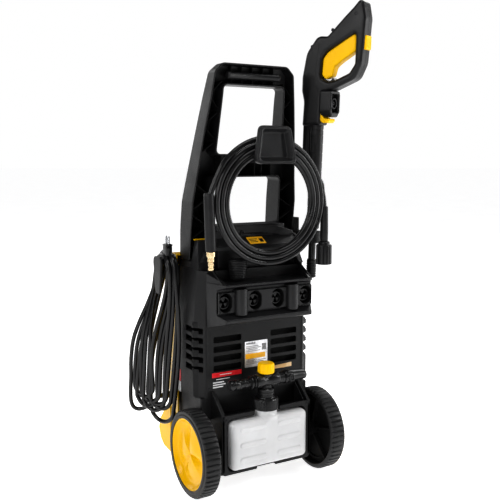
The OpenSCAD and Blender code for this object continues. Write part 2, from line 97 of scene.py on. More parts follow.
def make_studio():
    scene = bpy.context.scene
    scene.view_settings.view_transform = "Standard"
    scene.view_settings.look = "None"
    scene.view_settings.gamma = 0.80
    # The background is nearly white to the camera and much dimmer as a light, so black plastic stays black
    world = bpy.data.worlds.new("studio")
    world.use_nodes = True
    nt = world.node_tree
    seen = nt.nodes["Background"]
    put(seen, Color=WHITE, Strength=1.0)
    lit = nt.nodes.new("ShaderNodeBackground")
    put(lit, Color=WHITE, Strength=0.16)
    path = nt.nodes.new("ShaderNodeLightPath")
    mix = nt.nodes.new("ShaderNodeMixShader")
    nt.links.new(path.outputs["Is Camera Ray"], mix.inputs["Fac"])
    nt.links.new(lit.outputs["Background"], mix.inputs[1])
    nt.links.new(seen.outputs["Background"], mix.inputs[2])
    nt.links.new(mix.outputs["Shader"], nt.nodes["World Output"].inputs["Surface"])
    scene.world = world
    for lamp in LIGHTS:
        area_light(*lamp)
    mesh = bpy.data.meshes.new("floor")
    bm = bmesh.new()
    bmesh.ops.create_grid(bm, x_segments=1, y_segments=1, size=60)
    bm.to_mesh(mesh)
    bm.free()
    floor = linked("floor", mesh)
    mat = bpy.data.materials.new("floor_paper")
    mat.use_nodes = True
    nt = mat.node_tree
    shader = nt.nodes["Principled BSDF"]
    put(shader, Roughness=0.75, specular=0.2, glow=0.92)
    tint = mix_noise(nt, 3.0, (0.90, 0.90, 0.905), (0.93, 0.93, 0.93), 0.3, 0.7)
    nt.links.new(tint, shader.inputs["Base Color"])
    nt.links.new(tint, shader.inputs["Emission Color"])
    mesh.materials.append(mat)


# ---- material kit --------------------------------------------------------------------------------

def put(node, **values):
    """Set inputs of a shader node, by their own names or the short ones in SHADER_INPUTS."""
    for word, value in values.items():
        node.inputs[SHADER_INPUTS.get(word, word)].default_value = value


def coords(nt):
    found = nt.nodes.get("coords")
    if not found:
        found = nt.nodes.new("ShaderNodeTexCoord")
        found.name = "coords"
    return found.outputs["Object"]


def noise_tex(nt, scale, detail, rough, stretch=None):
    tex = nt.nodes.new("ShaderNodeTexNoise")
    put(tex, Scale=scale, Detail=detail, Roughness=rough)
    source = coords(nt)
    if stretch:
        mapping = nt.nodes.new("ShaderNodeMapping")
        put(mapping, Scale=stretch)
        nt.links.new(source, mapping.inputs["Vector"])
        source = mapping.outputs["Vector"]
    nt.links.new(source, tex.inputs["Vector"])
    return tex.outputs["Fac"]


def ramp(nt, fac, low, high, at_low, at_high):
    node = nt.nodes.new("ShaderNodeValToRGB")
    node.color_ramp.elements[0].position = at_low
    node.color_ramp.elements[1].position = at_high
    node.color_ramp.elements[0].color = (*low, 1)
    node.color_ramp.elements[1].color = (*high, 1)
    nt.links.new(fac, node.inputs["Fac"])
    return node.outputs["Color"]


def mix_noise(nt, scale, low, high, at_low, at_high, detail=3.0, stretch=None):
    return ramp(nt, noise_tex(nt, scale, detail, 0.55, stretch), low, high, at_low, at_high)


def grey(v):
    return (v, v, v)


def bump(nt, shader, *heights):
    """Each height is (fac output, strength, distance in metres); they are laid one over the other."""
    last = None
    for fac, strength, distance in heights:
        node = nt.nodes.new("ShaderNodeBump")
        put(node, Strength=strength, Distance=distance)
        nt.links.new(fac, node.inputs["Height"])
        if last:
            nt.links.new(last, node.inputs["Normal"])
        last = node.outputs["Normal"]
    nt.links.new(last, shader.inputs["Normal"])


def surface(name, color, rough, **values):
    """A new material; color and rough are arguments for mix_noise(), values are sockets of the shader."""
    mat = bpy.data.materials.new(name)
    mat.use_nodes = True
    nt = mat.node_tree
    shader = nt.nodes["Principled BSDF"]
    nt.links.new(mix_noise(nt, *color), shader.inputs["Base Color"])
    nt.links.new(mix_noise(nt, *rough), shader.inputs["Roughness"])
    put(shader, **values)
    return mat, nt, shader


SHADER_INPUTS = {"glow": "Emission Strength", "metallic": "Metallic", "specular": "Specular IOR Level",
                 "coat": "Coat Weight", "coat_rough": "Coat Roughness", "sss": "Subsurface Weight",
                 "sss_radius": "Subsurface Radius", "sss_scale": "Subsurface Scale"}
CLOUD = 9.0                  # scale of the slow colour drift in plastic


def plastic(name, dark, light, rough, grain, depth, specular, coat=0.0):
    """Moulded plastic: slow colour drift, broken roughness and a fine spark-eroded grain."""
    mat, nt, shader = surface(name, (CLOUD, dark, light, 0.32, 0.68),
                              (CLOUD * 3.1, grey(rough - 0.05), grey(rough + 0.06), 0.3, 0.7),
                              coat=coat, coat_rough=0.18, specular=specular)
    bump(nt, shader, (noise_tex(nt, grain, 2.0, 0.6), depth, 0.0006),
         (noise_tex(nt, grain * 0.12, 2.0, 0.5), depth * 0.5, 0.0012))
    return mat


def metal(name, dark, light, rough, stretch, grain=260.0, depth=0.25):
    """Turned, drawn or cast metal; stretch squeezes the noise into lines."""
    mat, nt, shader = surface(name, (grain * 0.2, dark, light, 0.3, 0.7, 3.0, stretch),
                              (grain * 0.5, grey(rough - 0.08), grey(rough + 0.1), 0.3, 0.7, 3.0, stretch),
                              metallic=1.0)
    bump(nt, shader, (noise_tex(nt, grain, 2.0, 0.6, stretch), depth, 0.0004))
    return mat


def rubber(name, dark, light, rough, grain, depth, coat=0.0):
    mat, nt, shader = surface(name, (30.0, dark, light, 0.3, 0.7),
                              (25.0, grey(rough - 0.04), grey(rough + 0.05), 0.3, 0.7),
                              specular=0.22, coat=coat, coat_rough=0.08)
    bump(nt, shader, (noise_tex(nt, grain, 3.0, 0.6), depth, 0.0005))
    return mat


def milky():
    """Blow-moulded polythene: milky, with slow thickness clouds and a soft sheen."""
    mat, nt, shader = surface("milky_polythene",
                              (14.0, (0.53, 0.53, 0.535), (0.61, 0.61, 0.615), 0.3, 0.7),
                              (40.0, grey(0.30), grey(0.42), 0.3, 0.7),
                              sss=0.25, sss_radius=(1.0, 0.95, 0.9), sss_scale=0.006)
    bump(nt, shader, (noise_tex(nt, 900, 2.0, 0.6), 0.10, 0.0005),
         (noise_tex(nt, 60, 2.0, 0.5), 0.25, 0.0012))
    return mat


def printed(name, low, high, rough, metallic, scale):
    """A printed foil label: slight shift of tone, broken sheen and a faint orange-peel surface."""
    mat, nt, shader = surface(name, (scale, low, high, 0.38, 0.62, 2.0),
                              (scale * 2, grey(rough - 0.06), grey(rough + 0.08), 0.3, 0.7),
                              metallic=metallic)
    bump(nt, shader, (noise_tex(nt, 700, 2.0, 0.6), 0.08, 0.0003))
    return mat


DEEP = (0.0055, 0.0055, 0.006), (0.0095, 0.0095, 0.010)
BLACK = (0.006, 0.006, 0.0065), (0.010, 0.010, 0.0105)
DARK = (0.004, 0.004, 0.0045), (0.008, 0.008, 0.0085)

# Key: maker, name, darker and lighter colour, and the maker's numbers
MAT = {key: make(*values) for key, make, *values in (
    ("casing", plastic, "casing_black", *DEEP, 0.40, 1700, 0.30, 0.30),
    ("trim", plastic, "trim_black", (0.008, 0.008, 0.0085), (0.013, 0.013, 0.014), 0.35, 1500, 0.26, 0.36),
    ("handle", plastic, "handle_black", *BLACK, 0.36, 1600, 0.22, 0.32),
    ("wheel", plastic, "wheel_black", (0.010, 0.010, 0.0105), (0.017, 0.017, 0.0175), 0.45, 900, 0.32, 0.38),
    ("gun", plastic, "gun_black", *BLACK, 0.34, 1500, 0.22, 0.32),
    ("foam", plastic, "foam_black", *BLACK, 0.28, 1200, 0.14, 0.36, 0.12),
    # inner: a darker copy of the black plastics, painted shade for recess floors, wells, the handle's
    # channel, the wheels' insides and the sheet behind the vents
    ("inner", plastic, "inner_black", grey(0.003), grey(0.006), 0.7, 900, 0.3, 0.2),
    ("amber", plastic, "amber_plastic", (0.78, 0.46, 0.0), (0.85, 0.51, 0.001), 0.32, 1300, 0.12, 0.14),
    # amber_hub: the caps' glossier amber; its base colour is about a tenth darker than the trigger's amber,
    # painted shade against the key light on the hubs
    ("amber_hub", plastic, "amber_hub", (0.70, 0.41, 0.0), (0.77, 0.455, 0.001), 0.20, 900, 0.06, 0.14, 0.10),
    ("steel", metal, "plain_steel", (0.52, 0.53, 0.55), (0.68, 0.69, 0.71), 0.32, (1, 1, 8)),
    ("black_steel", metal, "blackened_steel", (0.020, 0.020, 0.021), (0.045, 0.045, 0.047), 0.42, (1, 1, 1)),
    ("motor_steel", metal, "laminated_steel", (0.25, 0.26, 0.28), (0.42, 0.43, 0.45), 0.45, (1, 1, 30)),
    ("copper", metal, "lacquered_copper", (0.55, 0.22, 0.09), (0.75, 0.36, 0.16), 0.38, (1, 1, 20)),
    ("cast", metal, "cast_metal", (0.50, 0.51, 0.52), (0.66, 0.67, 0.68), 0.5, (1, 1, 1), 420, 0.5),
    ("brass", metal, "turned_brass", (0.62, 0.47, 0.27), (0.86, 0.72, 0.48), 0.16, (1, 1, 22), 200, 0.2),
    ("hose", rubber, "hose_rubber", *DARK, 0.30, 420, 0.012, 0.42),
    ("sleeve", rubber, "sleeve_rubber", (0.012, 0.012, 0.0125), (0.021, 0.021, 0.022), 0.36, 700, 0.18),
    ("cord", rubber, "cord_rubber", *DARK, 0.30, 500, 0.012, 0.40),
    ("foot", rubber, "foot_rubber", grey(0.018), grey(0.032), 0.7, 500, 0.4),
    ("milk", milky),
    ("silver_label", printed, "silver_label", (0.50, 0.50, 0.52), (0.80, 0.80, 0.82), 0.30, 0.55, 34),
    ("amber_label", printed, "amber_label", (0.86, 0.44, 0.01), (0.93, 0.52, 0.02), 0.35, 0.0, 60),
    ("cream_label", printed, "cream_label", (0.80, 0.52, 0.24), (0.88, 0.66, 0.40), 0.40, 0.0, 60),
    ("red_label", printed, "red_label", (0.62, 0.010, 0.018), (0.72, 0.020, 0.028), 0.35, 0.0, 60),
    ("pale_label", printed, "pale_label", grey(0.62), grey(0.80), 0.40, 0.0, 60),
    ("grey_label", printed, "grey_label", (0.16, 0.16, 0.165), (0.30, 0.30, 0.31), 0.40, 0.0, 160))}

SLOT_MATERIAL = {"casing_plastic": "casing", "trim_plastic": "trim", "amber_plastic": "amber",
    "amber_hub": "amber_hub", "wheel_plastic": "wheel", "foot_rubber": "foot", "plate_metal": "steel",
    "steel_parts": "steel", "motor_steel": "motor_steel", "winding_metal": "copper", "pump_metal": "cast",
    "brass_parts": "brass", "milky_plastic": "milk", "foam_plastic": "foam", "gun_plastic": "gun",
    "hose_cover": "sleeve", "cord_cover": "cord"}


# ---- mesh kit, in millimetres ----------------------------------------------------------------------

def build(name, verts, faces, mat, node=None, slot=None, body="chassis", bevel=0.0, segments=2, sharp=38):
    """A piece from points in millimetres, with its finish, its body and the CAD node it replaces."""
    mesh = bpy.data.meshes.new(name)
    mesh.from_pydata([tuple(c * MM for c in v) for v in verts], [], faces)
    mesh.validate()
    bm = bmesh.new()
    bm.from_mesh(mesh)
    bmesh.ops.remove_doubles(bm, verts=bm.verts, dist=1e-6)
    bmesh.ops.recalc_face_normals(bm, faces=bm.faces)
    bm.to_mesh(mesh)
    bm.free()
    mesh.materials.append(MAT[mat])
    obj = linked(name, mesh)
    smooth(obj, sharp)
    if bevel:
        add_bevel(obj, bevel, segments, sharp)
    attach(obj, body)
    if node:
        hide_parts(node)
    slot or SLOTS[node]
    return obj


def smooth(obj, sharp):
    mesh = obj.data
    mesh.polygons.foreach_set("use_smooth", [True] * len(mesh.polygons))
    bm = bmesh.new()
    bm.from_mesh(mesh)
    limit = radians(sharp)
    for edge in bm.edges:
        edge.smooth = len(edge.link_faces) == 2 and edge.calc_face_angle(0) < limit
    bm.to_mesh(mesh)
    bm.free()


def add_bevel(obj, width, segments, angle):
    mod = obj.modifiers.new("edge", "BEVEL")
    mod.width, mod.segments = width * MM, segments
    mod.limit_method, mod.angle_limit = "ANGLE", radians(angle)
    mod.use_clamp_overlap = True
    mod.harden_normals = False
    mod.miter_outer = "MITER_ARC"
    weigh_normals(obj)


def weigh_normals(obj):
    """Flat faces keep flat shading beside rounded edges."""
    weigh = obj.modifiers.new("shade", "WEIGHTED_NORMAL")
    weigh.keep_sharp, weigh.weight = True, 80


def bands(rows, n, closed=False):
    """Faces between `rows` rings of n points each; closed joins the last ring to the first."""
    return [[i * n + k, i * n + (k + 1) % n, (i + 1) % rows * n + (k + 1) % n, (i + 1) % rows * n + k]
        for i in range(rows if closed else rows - 1) for k in range(n)]


def quad(a, b, c, d):
    """A face from four points, or from three when two of them are one; nothing when it is only an edge."""
    face = list(dict.fromkeys([a, b, c, d]))
    return [face] if len(face) > 2 else []


def skin(rings, sides, closed=False):
    """Points and faces of a turned shape; a ring of a single point lies on the axis."""
    verts, rows, faces = [], [], []
    for ring in rings:
        rows.append([len(verts)] * sides if len(ring) == 1 else list(range(len(verts), len(verts) + sides)))
        verts += ring
    for low, high in list(zip(rows, rows[1:])) + ([(rows[-1], rows[0])] if closed else []):
        for k in range(sides):
            j = (k + 1) % sides
            faces += quad(low[k], low[j], high[j], high[k])
    if not closed:
        faces += [row for row in (rows[0][::-1], rows[-1]) if len(set(row)) > 1]
    return verts, faces


def around(sides):
    return [2 * pi * k / sides for k in range(sides)]


def circle(r, z, sides):
    """A ring of points round the axis, or a single point on it."""
    if r < ON_AXIS:
        return [(0, 0, z)]
    return [(r * cos(a), r * sin(a), z) for a in around(sides)]


def lathe(profile, at=(0, 0, 0), turn=None, sides=64, closed=False):
    """A turned shape from [radius, height] points round +Z, turned by the matrix and moved to `at`."""
    part = skin([circle(r, z, sides) for r, z in profile], sides, closed)
    return moved(part, turn or Matrix.Identity(3), at)


def gripped(rows, sides, depth, shape, x=0, y=0):
    """Points of rings (height, radius, share); a radius is cut by share * depth * shape(place, angle)."""
    verts = []
    for z, r, share in rows:
        for k, a in enumerate(around(sides)):
            cut_r = r - share * depth * shape(k, a)
            verts.append((x + cut_r * cos(a), y + cut_r * sin(a), z))
    return verts


def joined(*parts):
    verts, faces = [], []
    for v, f in parts:
        base = len(verts)
        verts += list(v)
        faces += [[base + i for i in face] for face in f]
    return verts, faces


def moved(part, turn, at):
    return [tuple(turn @ Vector(v) + Vector(at)) for v in part[0]], part[1]


def spin(axis, degrees):
    return Matrix.Rotation(radians(degrees), 3, axis)


TO_X = spin("Y", 90)         # +Z becomes +X
TO_MINUS_X = spin("Y", -90)
TO_Y = spin("X", -90)        # +Z becomes +Y
ON_AXIS = 1e-6               # a radius below this is a point on the axis


def catmull(points, step):
    """A smooth line through the points, resampled about every `step`."""
    pts = [Vector(p) for p in points]
    pts = [pts[0] * 2 - pts[1]] + pts + [pts[-1] * 2 - pts[-2]]
    line = []
    for i in range(1, len(pts) - 2):
        p0, p1, p2, p3 = pts[i - 1:i + 3]
        n = max(2, int((p2 - p1).length / step))
        for k in range(n):
            t = k / n
            line.append(0.5 * ((2 * p1) + (p2 - p0) * t + (2 * p0 - 5 * p1 + 4 * p2 - p3) * t * t +
                (3 * p1 - p0 - 3 * p2 + p3) * t ** 3))
    line.append(pts[-2])
    return line


def strand(name, line, diameter, mat, nodes):
    """A curve piece along a line in millimetres."""
    data = bpy.data.curves.new(name, "CURVE")
    data.dimensions = "3D"
    data.bevel_depth, data.bevel_resolution = diameter / 2 * MM, 4
    data.use_fill_caps = True
    spline = data.splines.new("POLY")
    spline.points.add(len(line) - 1)
    for point, p in zip(spline.points, line):
        point.co = (p[0] * MM, p[1] * MM, p[2] * MM, 1)
    spline.use_smooth = True
    data.materials.append(MAT[mat])
    obj = linked(name, data)
    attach(obj, "chassis")
    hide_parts(*nodes)
    return obj


def length_of(line):
    return sum((b - a).length for a, b in zip(line, line[1:])) * MM


# ---- hose and mains cord -----------------------------------------------------------------------------

COIL = Vector((2.4, -38, 601.5))
# Turns of the coil: (radius, depth, shift right, shift up) at whole turns, with a smooth change between
TURNS = [(131.2, -42.0, 0.0, 0.5), (120.7, -44.4, -0.4, 0.5), (110.2, -44.6, 0.2, 0.4),
    (99.8, -43.6, 0.4, 0.4), (105.5, -32.6, 0.4, 0.5), (116.4, -31.8, 0.2, 0.3), (126.6, -33.0, 0.0, 0.0)]
HOSE_END = (-130.0, -38, 509.8)
NUT_X, NUT_Y = 141, -38


def eased(f):
    """0 to 1 with a soft start and end."""
    return f * f * (3 - 2 * f)


def hose_line():
    def turn_at(t):
        i = min(int(t), len(TURNS) - 2)
        f = eased(t - i)
        return [a + (b - a) * f for a, b in zip(TURNS[i], TURNS[i + 1])]

    left = [HOSE_END, (-131.2, -38, 545), (-132.4, -38, 585), (-132.4, -38.6, 614)]
    right = [(129.5, -35.5, 645), (136.2, -37, 620), (140.0, -38, 596), (141, -38, 560), (141, -38, 516)]
    sweep = 5 * 360 + 132.0
    steps = 126
    ring = []
    for k in range(1, steps):
        t = k / steps
        radius, depth, dx, dz = turn_at(t * sweep / 360)
        a = radians(162 - sweep * t)
        reach = radius + 0.6 * sin(3 * a + 5 * t) * 0.4
        ring.append((COIL.x + dx + reach * cos(a), depth, COIL.z + dz + reach * sin(a)))
    return catmull(left + ring + right, 5.0)


CORD = 9.0
HANK_TOP, HANK_FOOT = Vector((-153.5, 125)), Vector((-169, 134))
ARCH_Z = 451.5
# Each turn of the hank: place across it at the top, radius over the hook, place of its left and right runs,
# height of its foot, and place across it at the foot
HANK_TURNS = [(-9.2, 27, -83, -20, 166, 0), (0, 27, -74, -10, 146, 2), (9.2, 27, -65, 0, 158, -1.6),
    (-9.2, 35.5, -55, 10, 140, 1.6), (0, 35.5, -46, 20, 156, -2), (9.2, 35.5, -36, 29, 147, 1.2),
    (0, 43.5, -27, 38, 117, -1.2)]


def on_hank(s, w, z):
    """A point from its place along the hank, across it, and its height; the hank turns as it hangs."""
    low = eased(max(0.0, min(1.0, (470 - z) / 190)))
    a = radians(28) * low
    at = HANK_TOP + (HANK_FOOT - HANK_TOP) * low
    return (at.x + s * sin(a) + w * cos(a), at.y - s * cos(a) + w * sin(a), z)


def hank_run(s_top, w_top, s_low, w_low, z_low, bow):
    """A run of cord from the hook down to its foot, bowed sideways."""
    out = []
    for f in (0.0, 0.16, 0.32, 0.48, 0.64, 0.82, 1.0):
        out.append((s_top + (s_low - s_top) * (0.35 * f + 0.65 * eased(f)) + bow * sin(pi * f),
            w_top + (w_low - w_top) * f, ARCH_Z + (z_low - ARCH_Z) * f))
    return out


def hank_bend(s0, s1, z, w0, w1, up):
    """A half circle from s0 to s1, over the hook (up) or along the foot."""
    out, n = [], 7
    for k in range(1, n):
        a = pi * k / n
        out.append(((s0 + s1) / 2 + (s0 - s1) / 2 * cos(a), w0 + (w1 - w0) * k / n,
            z + (1 if up else -1) * abs(s0 - s1) / 2 * sin(a)))
    return out


def hank_points():
    path, n = [], len(HANK_TURNS)
    for k, (w, r, left, right, foot, w_low) in enumerate(HANK_TURNS):
        after = HANK_TURNS[k + 1] if k + 1 < n else (6, 27, -34, 0, 118, 9)
        before = HANK_TURNS[k - 1][4] + (HANK_TURNS[k - 1][3] - left) / 2 if k else 205
        next_left, next_w = after[2], after[5]
        turn_r = (right - next_left) / 2
        path += hank_run(-r, w, left, w_low, before, -7 + 2.6 * k)[::-1]
        path += hank_bend(-r, r, ARCH_Z, w, w, True)
        path += hank_run(r, w, right, w_low, foot + turn_r, -12 + 4.2 * k)
        path += hank_bend(right, next_left, foot + turn_r, w_low, next_w, False)
    return path


def cord_line():
    lead = [(-152, 178, 160), (-157, 182, 154), (-164, 189, 145), (-173, 197, 135), (-182, 205, 128.5),
        (-192, 211.5, 127), (-200, 215, 132), (-205, 215.5, 143), (-207.5, 213, 160), (-208.3, 210, 182)]
    # the last run crosses the others on its way back up, and ends in the plug behind the blade
    last = [(-34, 9, 170), (-33, 8, 205), (-23, 6, 270), (-8, 4, 340), (7, 1, 400), (14, -2, 440),
        (13.5, -4, 462)]
    points = [on_hank(s, w, z) for s, w, z in hank_points() + last]
    return catmull(lead + points + [PLUG_AT], 4.0)


PLUG_AT = (-156.5, 112.0, 481.0)


def make_cords():
    line = hose_line()
    hose = strand("hose", line, 10.5, "hose", ["hose_coil", "hose_tails"])
    # sleeves that slip over the hose's two ends
    left = lathe([(6.2, 0), (9.6, 0), (10.6, 1.2), (10.8, 40), (10.4, 104), (10.0, 112), (9.0, 114),
        (5.6, 114)], HOSE_END, spin("Y", -1.8), 48)
    left_sleeve = build("hose_sleeve_left", *left, "sleeve", "hose_sleeves")
    right = lathe([(5.6, 0), (7.8, 0), (8.4, 1.0), (8.5, 20), (7.7, 70), (7.2, 74), (5.5, 74.6)],
        (NUT_X, NUT_Y, 515.6), None, 48)
    right_sleeve = build("hose_sleeve_right", *right, "sleeve", slot="hose_cover")
    plug = lathe([(0, 472), (3.0, 472), (5.2, 472.6), (5.9, 474), (5.9, 477.2), (4.9, 477.8), (4.9, 480.2),
        (5.9, 480.8), (5.9, 486), (5.5, 486.6), (5.5, 488.6), (7.0, 490), (7.0, 494), (6.4, 494.6),
        (6.4, 496.6), (7.0, 497.2), (7.0, 499), (8.6, 499.4), (9.0, 500.2), (9.0, 508.4), (8.4, 509.6),
        (0, 509.6)], (-130, -38, 0), None, 48)
    brass_plug = build("hose_brass_plug", *plug, "brass", "hose_plug", sharp=25)
    nut = build("hose_hand_nut", *knurled_nut(), "trim", "hose_nut", body="hose_end_nut", sharp=30)
    round(length_of(line), 2)
    line = cord_line()
    cord = strand("mains_cord", line, CORD, "cord", ["cord_hank", "cord_lead"])
    at = PLUG_AT
    # moulded plug: a ribbed strain relief below a flat-sided grip with two round pins
    relief = [(0, -10), (4.9, -10), (5.2, -9.6)]
    for i in range(3):
        relief += [(5.4 + i * 0.4, -8.8 + i * 3), (5.4 + i * 0.4, -7.2 + i * 3),
            (4.9 + i * 0.4, -6.9 + i * 3), (4.9 + i * 0.4, -6.1 + i * 3)]
    relief = lathe(relief + [(6.4, 0.4), (7.2, 2), (0, 2)], at, None, 48)
    grip = slab([rounded([(-4.5, 0), (4.5, 0), (9.5, 6), (10.5, 22), (8.5, 31), (-8.5, 31), (-10.5, 22),
        (-9.5, 6)], [2, 2, 5, 6, 2, 2, 6, 5], 4)], -7, 7, 2.6, 4)
    face = slab([rect(-9.6, 27, 9.6, 30, 0.6)], -7.6, 7.6, 0.6, 2)
    grip, face = [moved(placed(part, ON_X), Matrix.Identity(3), at) for part in (grip, face)]
    plug_body = build("mains_plug", *joined(relief, grip, face), "cord", "plug_body", sharp=35)
    pin = [(2.3, 30.6), (2.3, 45.5), (1.7, 47.2), (0, 47.6)]
    pins = joined(*[lathe(pin, (at[0], at[1] + y, at[2]), None, 24) for y in (-6, 6)])
    plug_pins = build("mains_plug_pins", *pins, "steel", "plug_pins")
    round(length_of(line), 2)


def knurled_nut():
    """The hand nut: a gripped barrel with a threaded bore below."""
    sides = 168
    outer = [(466.0, 15.0, 0.0), (466.4, 16.4, 0.4), (467.6, 16.9, 1.0), (505.5, 16.6, 1.0),
        (507.6, 16.0, 0.7), (508.6, 14.4, 0.0), (509.4, 12.4, 0.0), (513.4, 11.8, 0.0), (514.6, 10.9, 0.0),
        (515, 9.6, 0.0)]
    inner = [(515, 6.4, 0.0), (486, 6.4, 0.0), (485, 10.0, 0.0)]
    for i in range(6):
        inner += [(484 - i * 3, 11.2, 0.0), (482.5 - i * 3, 10.5, 0.0)]
    rows = outer + inner + [(466.0, 11.2, 0.0)]
    verts = gripped(rows, sides, 2.3, lambda k, a: max(0.0, cos(14 * a)) ** 0.6, NUT_X, NUT_Y)
    return verts, bands(len(rows), sides, True)


# ---- outline kit: rounded outlines, rounded plates, swept rims and pierced sheets ------------------------

def rounded(points, radius, steps):
    """The outline with its corners turned into arcs; radius is one number or one for each corner."""
    out, n = [], len(points)
    for i, corner in enumerate(points):
        r = radius[i] if isinstance(radius, (list, tuple)) else radius
        p, a, b = Vector(corner), Vector(points[i - 1]), Vector(points[(i + 1) % n])
        to_a, to_b = a - p, b - p
        la, lb = to_a.length, to_b.length
        to_a.normalize()
        to_b.normalize()
        half = acos(max(-1.0, min(1.0, to_a.dot(to_b)))) / 2
        if r <= 0 or half > pi / 2 - 0.02:
            out.append(tuple(p))
            continue
        cut = min(r / tan(half), la * 0.48, lb * 0.48)
        r = cut * tan(half)
        centre = p + (to_a + to_b).normalized() * (r / sin(half))
        v0, v1 = p + to_a * cut - centre, p + to_b * cut - centre
        a0 = atan2(v0.y, v0.x)
        turn = (atan2(v1.y, v1.x) - a0 + pi) % (2 * pi) - pi
        out += [(centre.x + r * cos(a0 + turn * k / steps), centre.y + r *
            sin(a0 + turn * k / steps)) for k in range(steps + 1)]
    return out


def area_of(loop):
    return 0.5 * sum(a[0] * b[1] - b[0] * a[1] for a, b in zip(loop, loop[1:] + loop[:1]))


def facing(loop, hole=False):
    loop = list(loop)
    return loop if (area_of(loop) > 0) != hole else loop[::-1]


def offset(loop, e):
    """The outline moved to its left by e, which is inwards for an outside and outwards for a hole."""
    out, n = [], len(loop)
    for i in range(n):
        a, p, b = Vector(loop[i - 1]), Vector(loop[i]), Vector(loop[(i + 1) % n])
        d1, d2 = (p - a).normalized(), (b - p).normalized()
        n1, n2 = Vector((-d1.y, d1.x)), Vector((-d2.y, d2.x))
        m = n1 + n2
        if m.length < 1e-6:
            m = n1.copy()
        m.normalize()
        out.append(tuple(p + m * (e / max(0.5, m.dot(n1)))))
    return out


def edge_levels(a, b, r, r_b, steps, parts=1):
    """Rings (inset, height) from a to b with both edges rounded and the straight wall in some parts."""
    angles = [pi / 2 * k / steps for k in range(steps + 1)]
    low = [(r * (1 - sin(t)), a + r * (1 - cos(t))) for t in angles] if r > 0 else [(0, a)]
    high = [(r_b * (1 - sin(t)), b - r_b * (1 - cos(t))) for t in angles[::-1]] if r_b > 0 else [(0, b)]
    return low + [(0.0, a + r + (b - a - 2 * r) * k / parts) for k in range(1, parts)] + high


def slab(loops, a, b, r, steps, r_b=None):
    """A plate with rounded edges as points (u, v, depth); the first outline is the outside one."""
    loops = [facing(loop, i > 0) for i, loop in enumerate(loops)]
    levels = edge_levels(a, b, r, r if r_b is None else r_b, steps)
    verts, faces = [], []
    total = sum(len(loop) for loop in loops)
    for inset, depth in levels:
        for loop in loops:
            verts += [(p[0], p[1], depth) for p in (offset(loop, inset) if inset else loop)]
    start = 0
    for loop in loops:
        n = len(loop)
        for level in range(len(levels) - 1):
            low, high = level * total + start, (level + 1) * total + start
            faces += [[low + i, low + (i + 1) % n, high + (i + 1) % n, high + i] for i in range(n)]
        start += n
    for level, flip in ((0, True), (len(levels) - 1, False)):
        first, rings = level * total, []
        for loop in loops:
            rings.append([Vector((v[0], v[1], 0)) for v in verts[first:first + len(loop)]])
            first += len(loop)
        for tri in tessellate_polygon(rings):
            face = [level * total + i for i in tri]
            faces.append(face[::-1] if flip else face)
    return verts, faces


def rim(loop, section, hole=False):
    """A closed band that follows an outline; section is a closed list of (offset inwards, depth)."""
    loop = facing(loop, hole)
    verts = []
    for e, depth in section:
        verts += [(p[0], p[1], depth) for p in (offset(loop, e) if e else loop)]
    return verts, bands(len(section), len(loop), True)


def pierced(us, vs, holes, steps=4):
    """A flat sheet on grid lines us and vs with rounded holes (u0, v0, u1, v1, radius, margin)."""
    def lines(given, i):
        edges = [h[i] - h[5] for h in holes] + [h[i + 2] + h[5] for h in holes]
        return sorted({round(g, 4) for g in list(given) + edges})

    us, vs = lines(us, 0), lines(vs, 1)
    points, index, faces = [], {}, []

    def vert(u, v):
        key = (round(u, 3), round(v, 3))
        if key not in index:
            index[key] = len(points)
            points.append((u, v))
        return index[key]

    for i in range(len(us) - 1):
        for j in range(len(vs) - 1):
            cu, cv = (us[i] + us[i + 1]) / 2, (vs[j] + vs[j + 1]) / 2
            if not any(h[0] - h[5] < cu < h[2] + h[5] and h[1] - h[5] < cv < h[3] + h[5] for h in holes):
                faces.append([vert(us[i], vs[j]), vert(us[i + 1], vs[j]), vert(us[i + 1], vs[j + 1]),
                    vert(us[i], vs[j + 1])])
    for u0, v0, u1, v1, r, m in holes:
        between = [u for u in us if u0 + r < u < u1 - r]
        pairs = []
        for corner, (cu, cv, start) in enumerate(((u1 - r, v0 + r, -90), (u1 - r, v1 - r, 0),
                (u0 + r, v1 - r, 90), (u0 + r, v0 + r, 180))):
            if corner == 0:
                pairs += [((u, v0), (u, v0 - m)) for u in between]
            if corner == 2:
                pairs += [((u, v1), (u, v1 + m)) for u in reversed(between)]
            edge = (u1 + m if corner in (0, 1) else u0 - m, v0 - m if corner in (0, 3) else v1 + m)
            for k in range(steps + 1):
                t = radians(start + 90 * k / steps)
                pairs.append(((cu + r * cos(t), cv + r * sin(t)), edge))
        n = len(pairs)
        for k in range(n):
            (h0, c0), (h1, c1) = pairs[k], pairs[(k + 1) % n]
            faces += quad(vert(*h0), vert(*c0), vert(*c1), vert(*h1))
    return points, faces


def thick(sheet, place, low, high):
    """The sheet as a solid between two depths, placed in space by place(u, v, depth)."""
    points, faces = sheet
    n = len(points)
    verts = [place(u, v, low) for u, v in points] + [place(u, v, high) for u, v in points]
    out = [list(f) for f in faces] + [[i + n for i in reversed(f)] for f in faces]
    edges = {(a, b): True for f in faces for a, b in zip(f, f[1:] + f[:1])}
    out += [[b, a, a + n, b + n] for a, b in edges if (b, a) not in edges]
    return verts, out


def placed(part, place):
    return [place(*v) for v in part[0]], part[1]


ON_X = lambda u, v, t: (t, u, v)      # outlines in (y, z), depth along X
ON_Y = lambda u, v, t: (u, t, v)      # outlines in (x, z), depth along Y
ON_Z = lambda u, v, t: (u, v, t)      # outlines in (x, y), depth along Z


def plate(loops, axis, a, b, r, steps=3, r_b=None):
    return placed(slab(loops, a, b, r, steps, r_b), {"x": ON_X, "y": ON_Y, "z": ON_Z}[axis])


def board(points, radius, corner_steps, axis, a, b, r, steps=3):
    """A plate with one outline, whose corners are rounded."""
    return plate([rounded(points, radius, corner_steps)], axis, a, b, r, steps)


def rect(u0, v0, u1, v1, r=0.0, steps=4):
    loop = [(u0, v0), (u1, v0), (u1, v1), (u0, v1)]
    return rounded(loop, r, steps) if r else loop


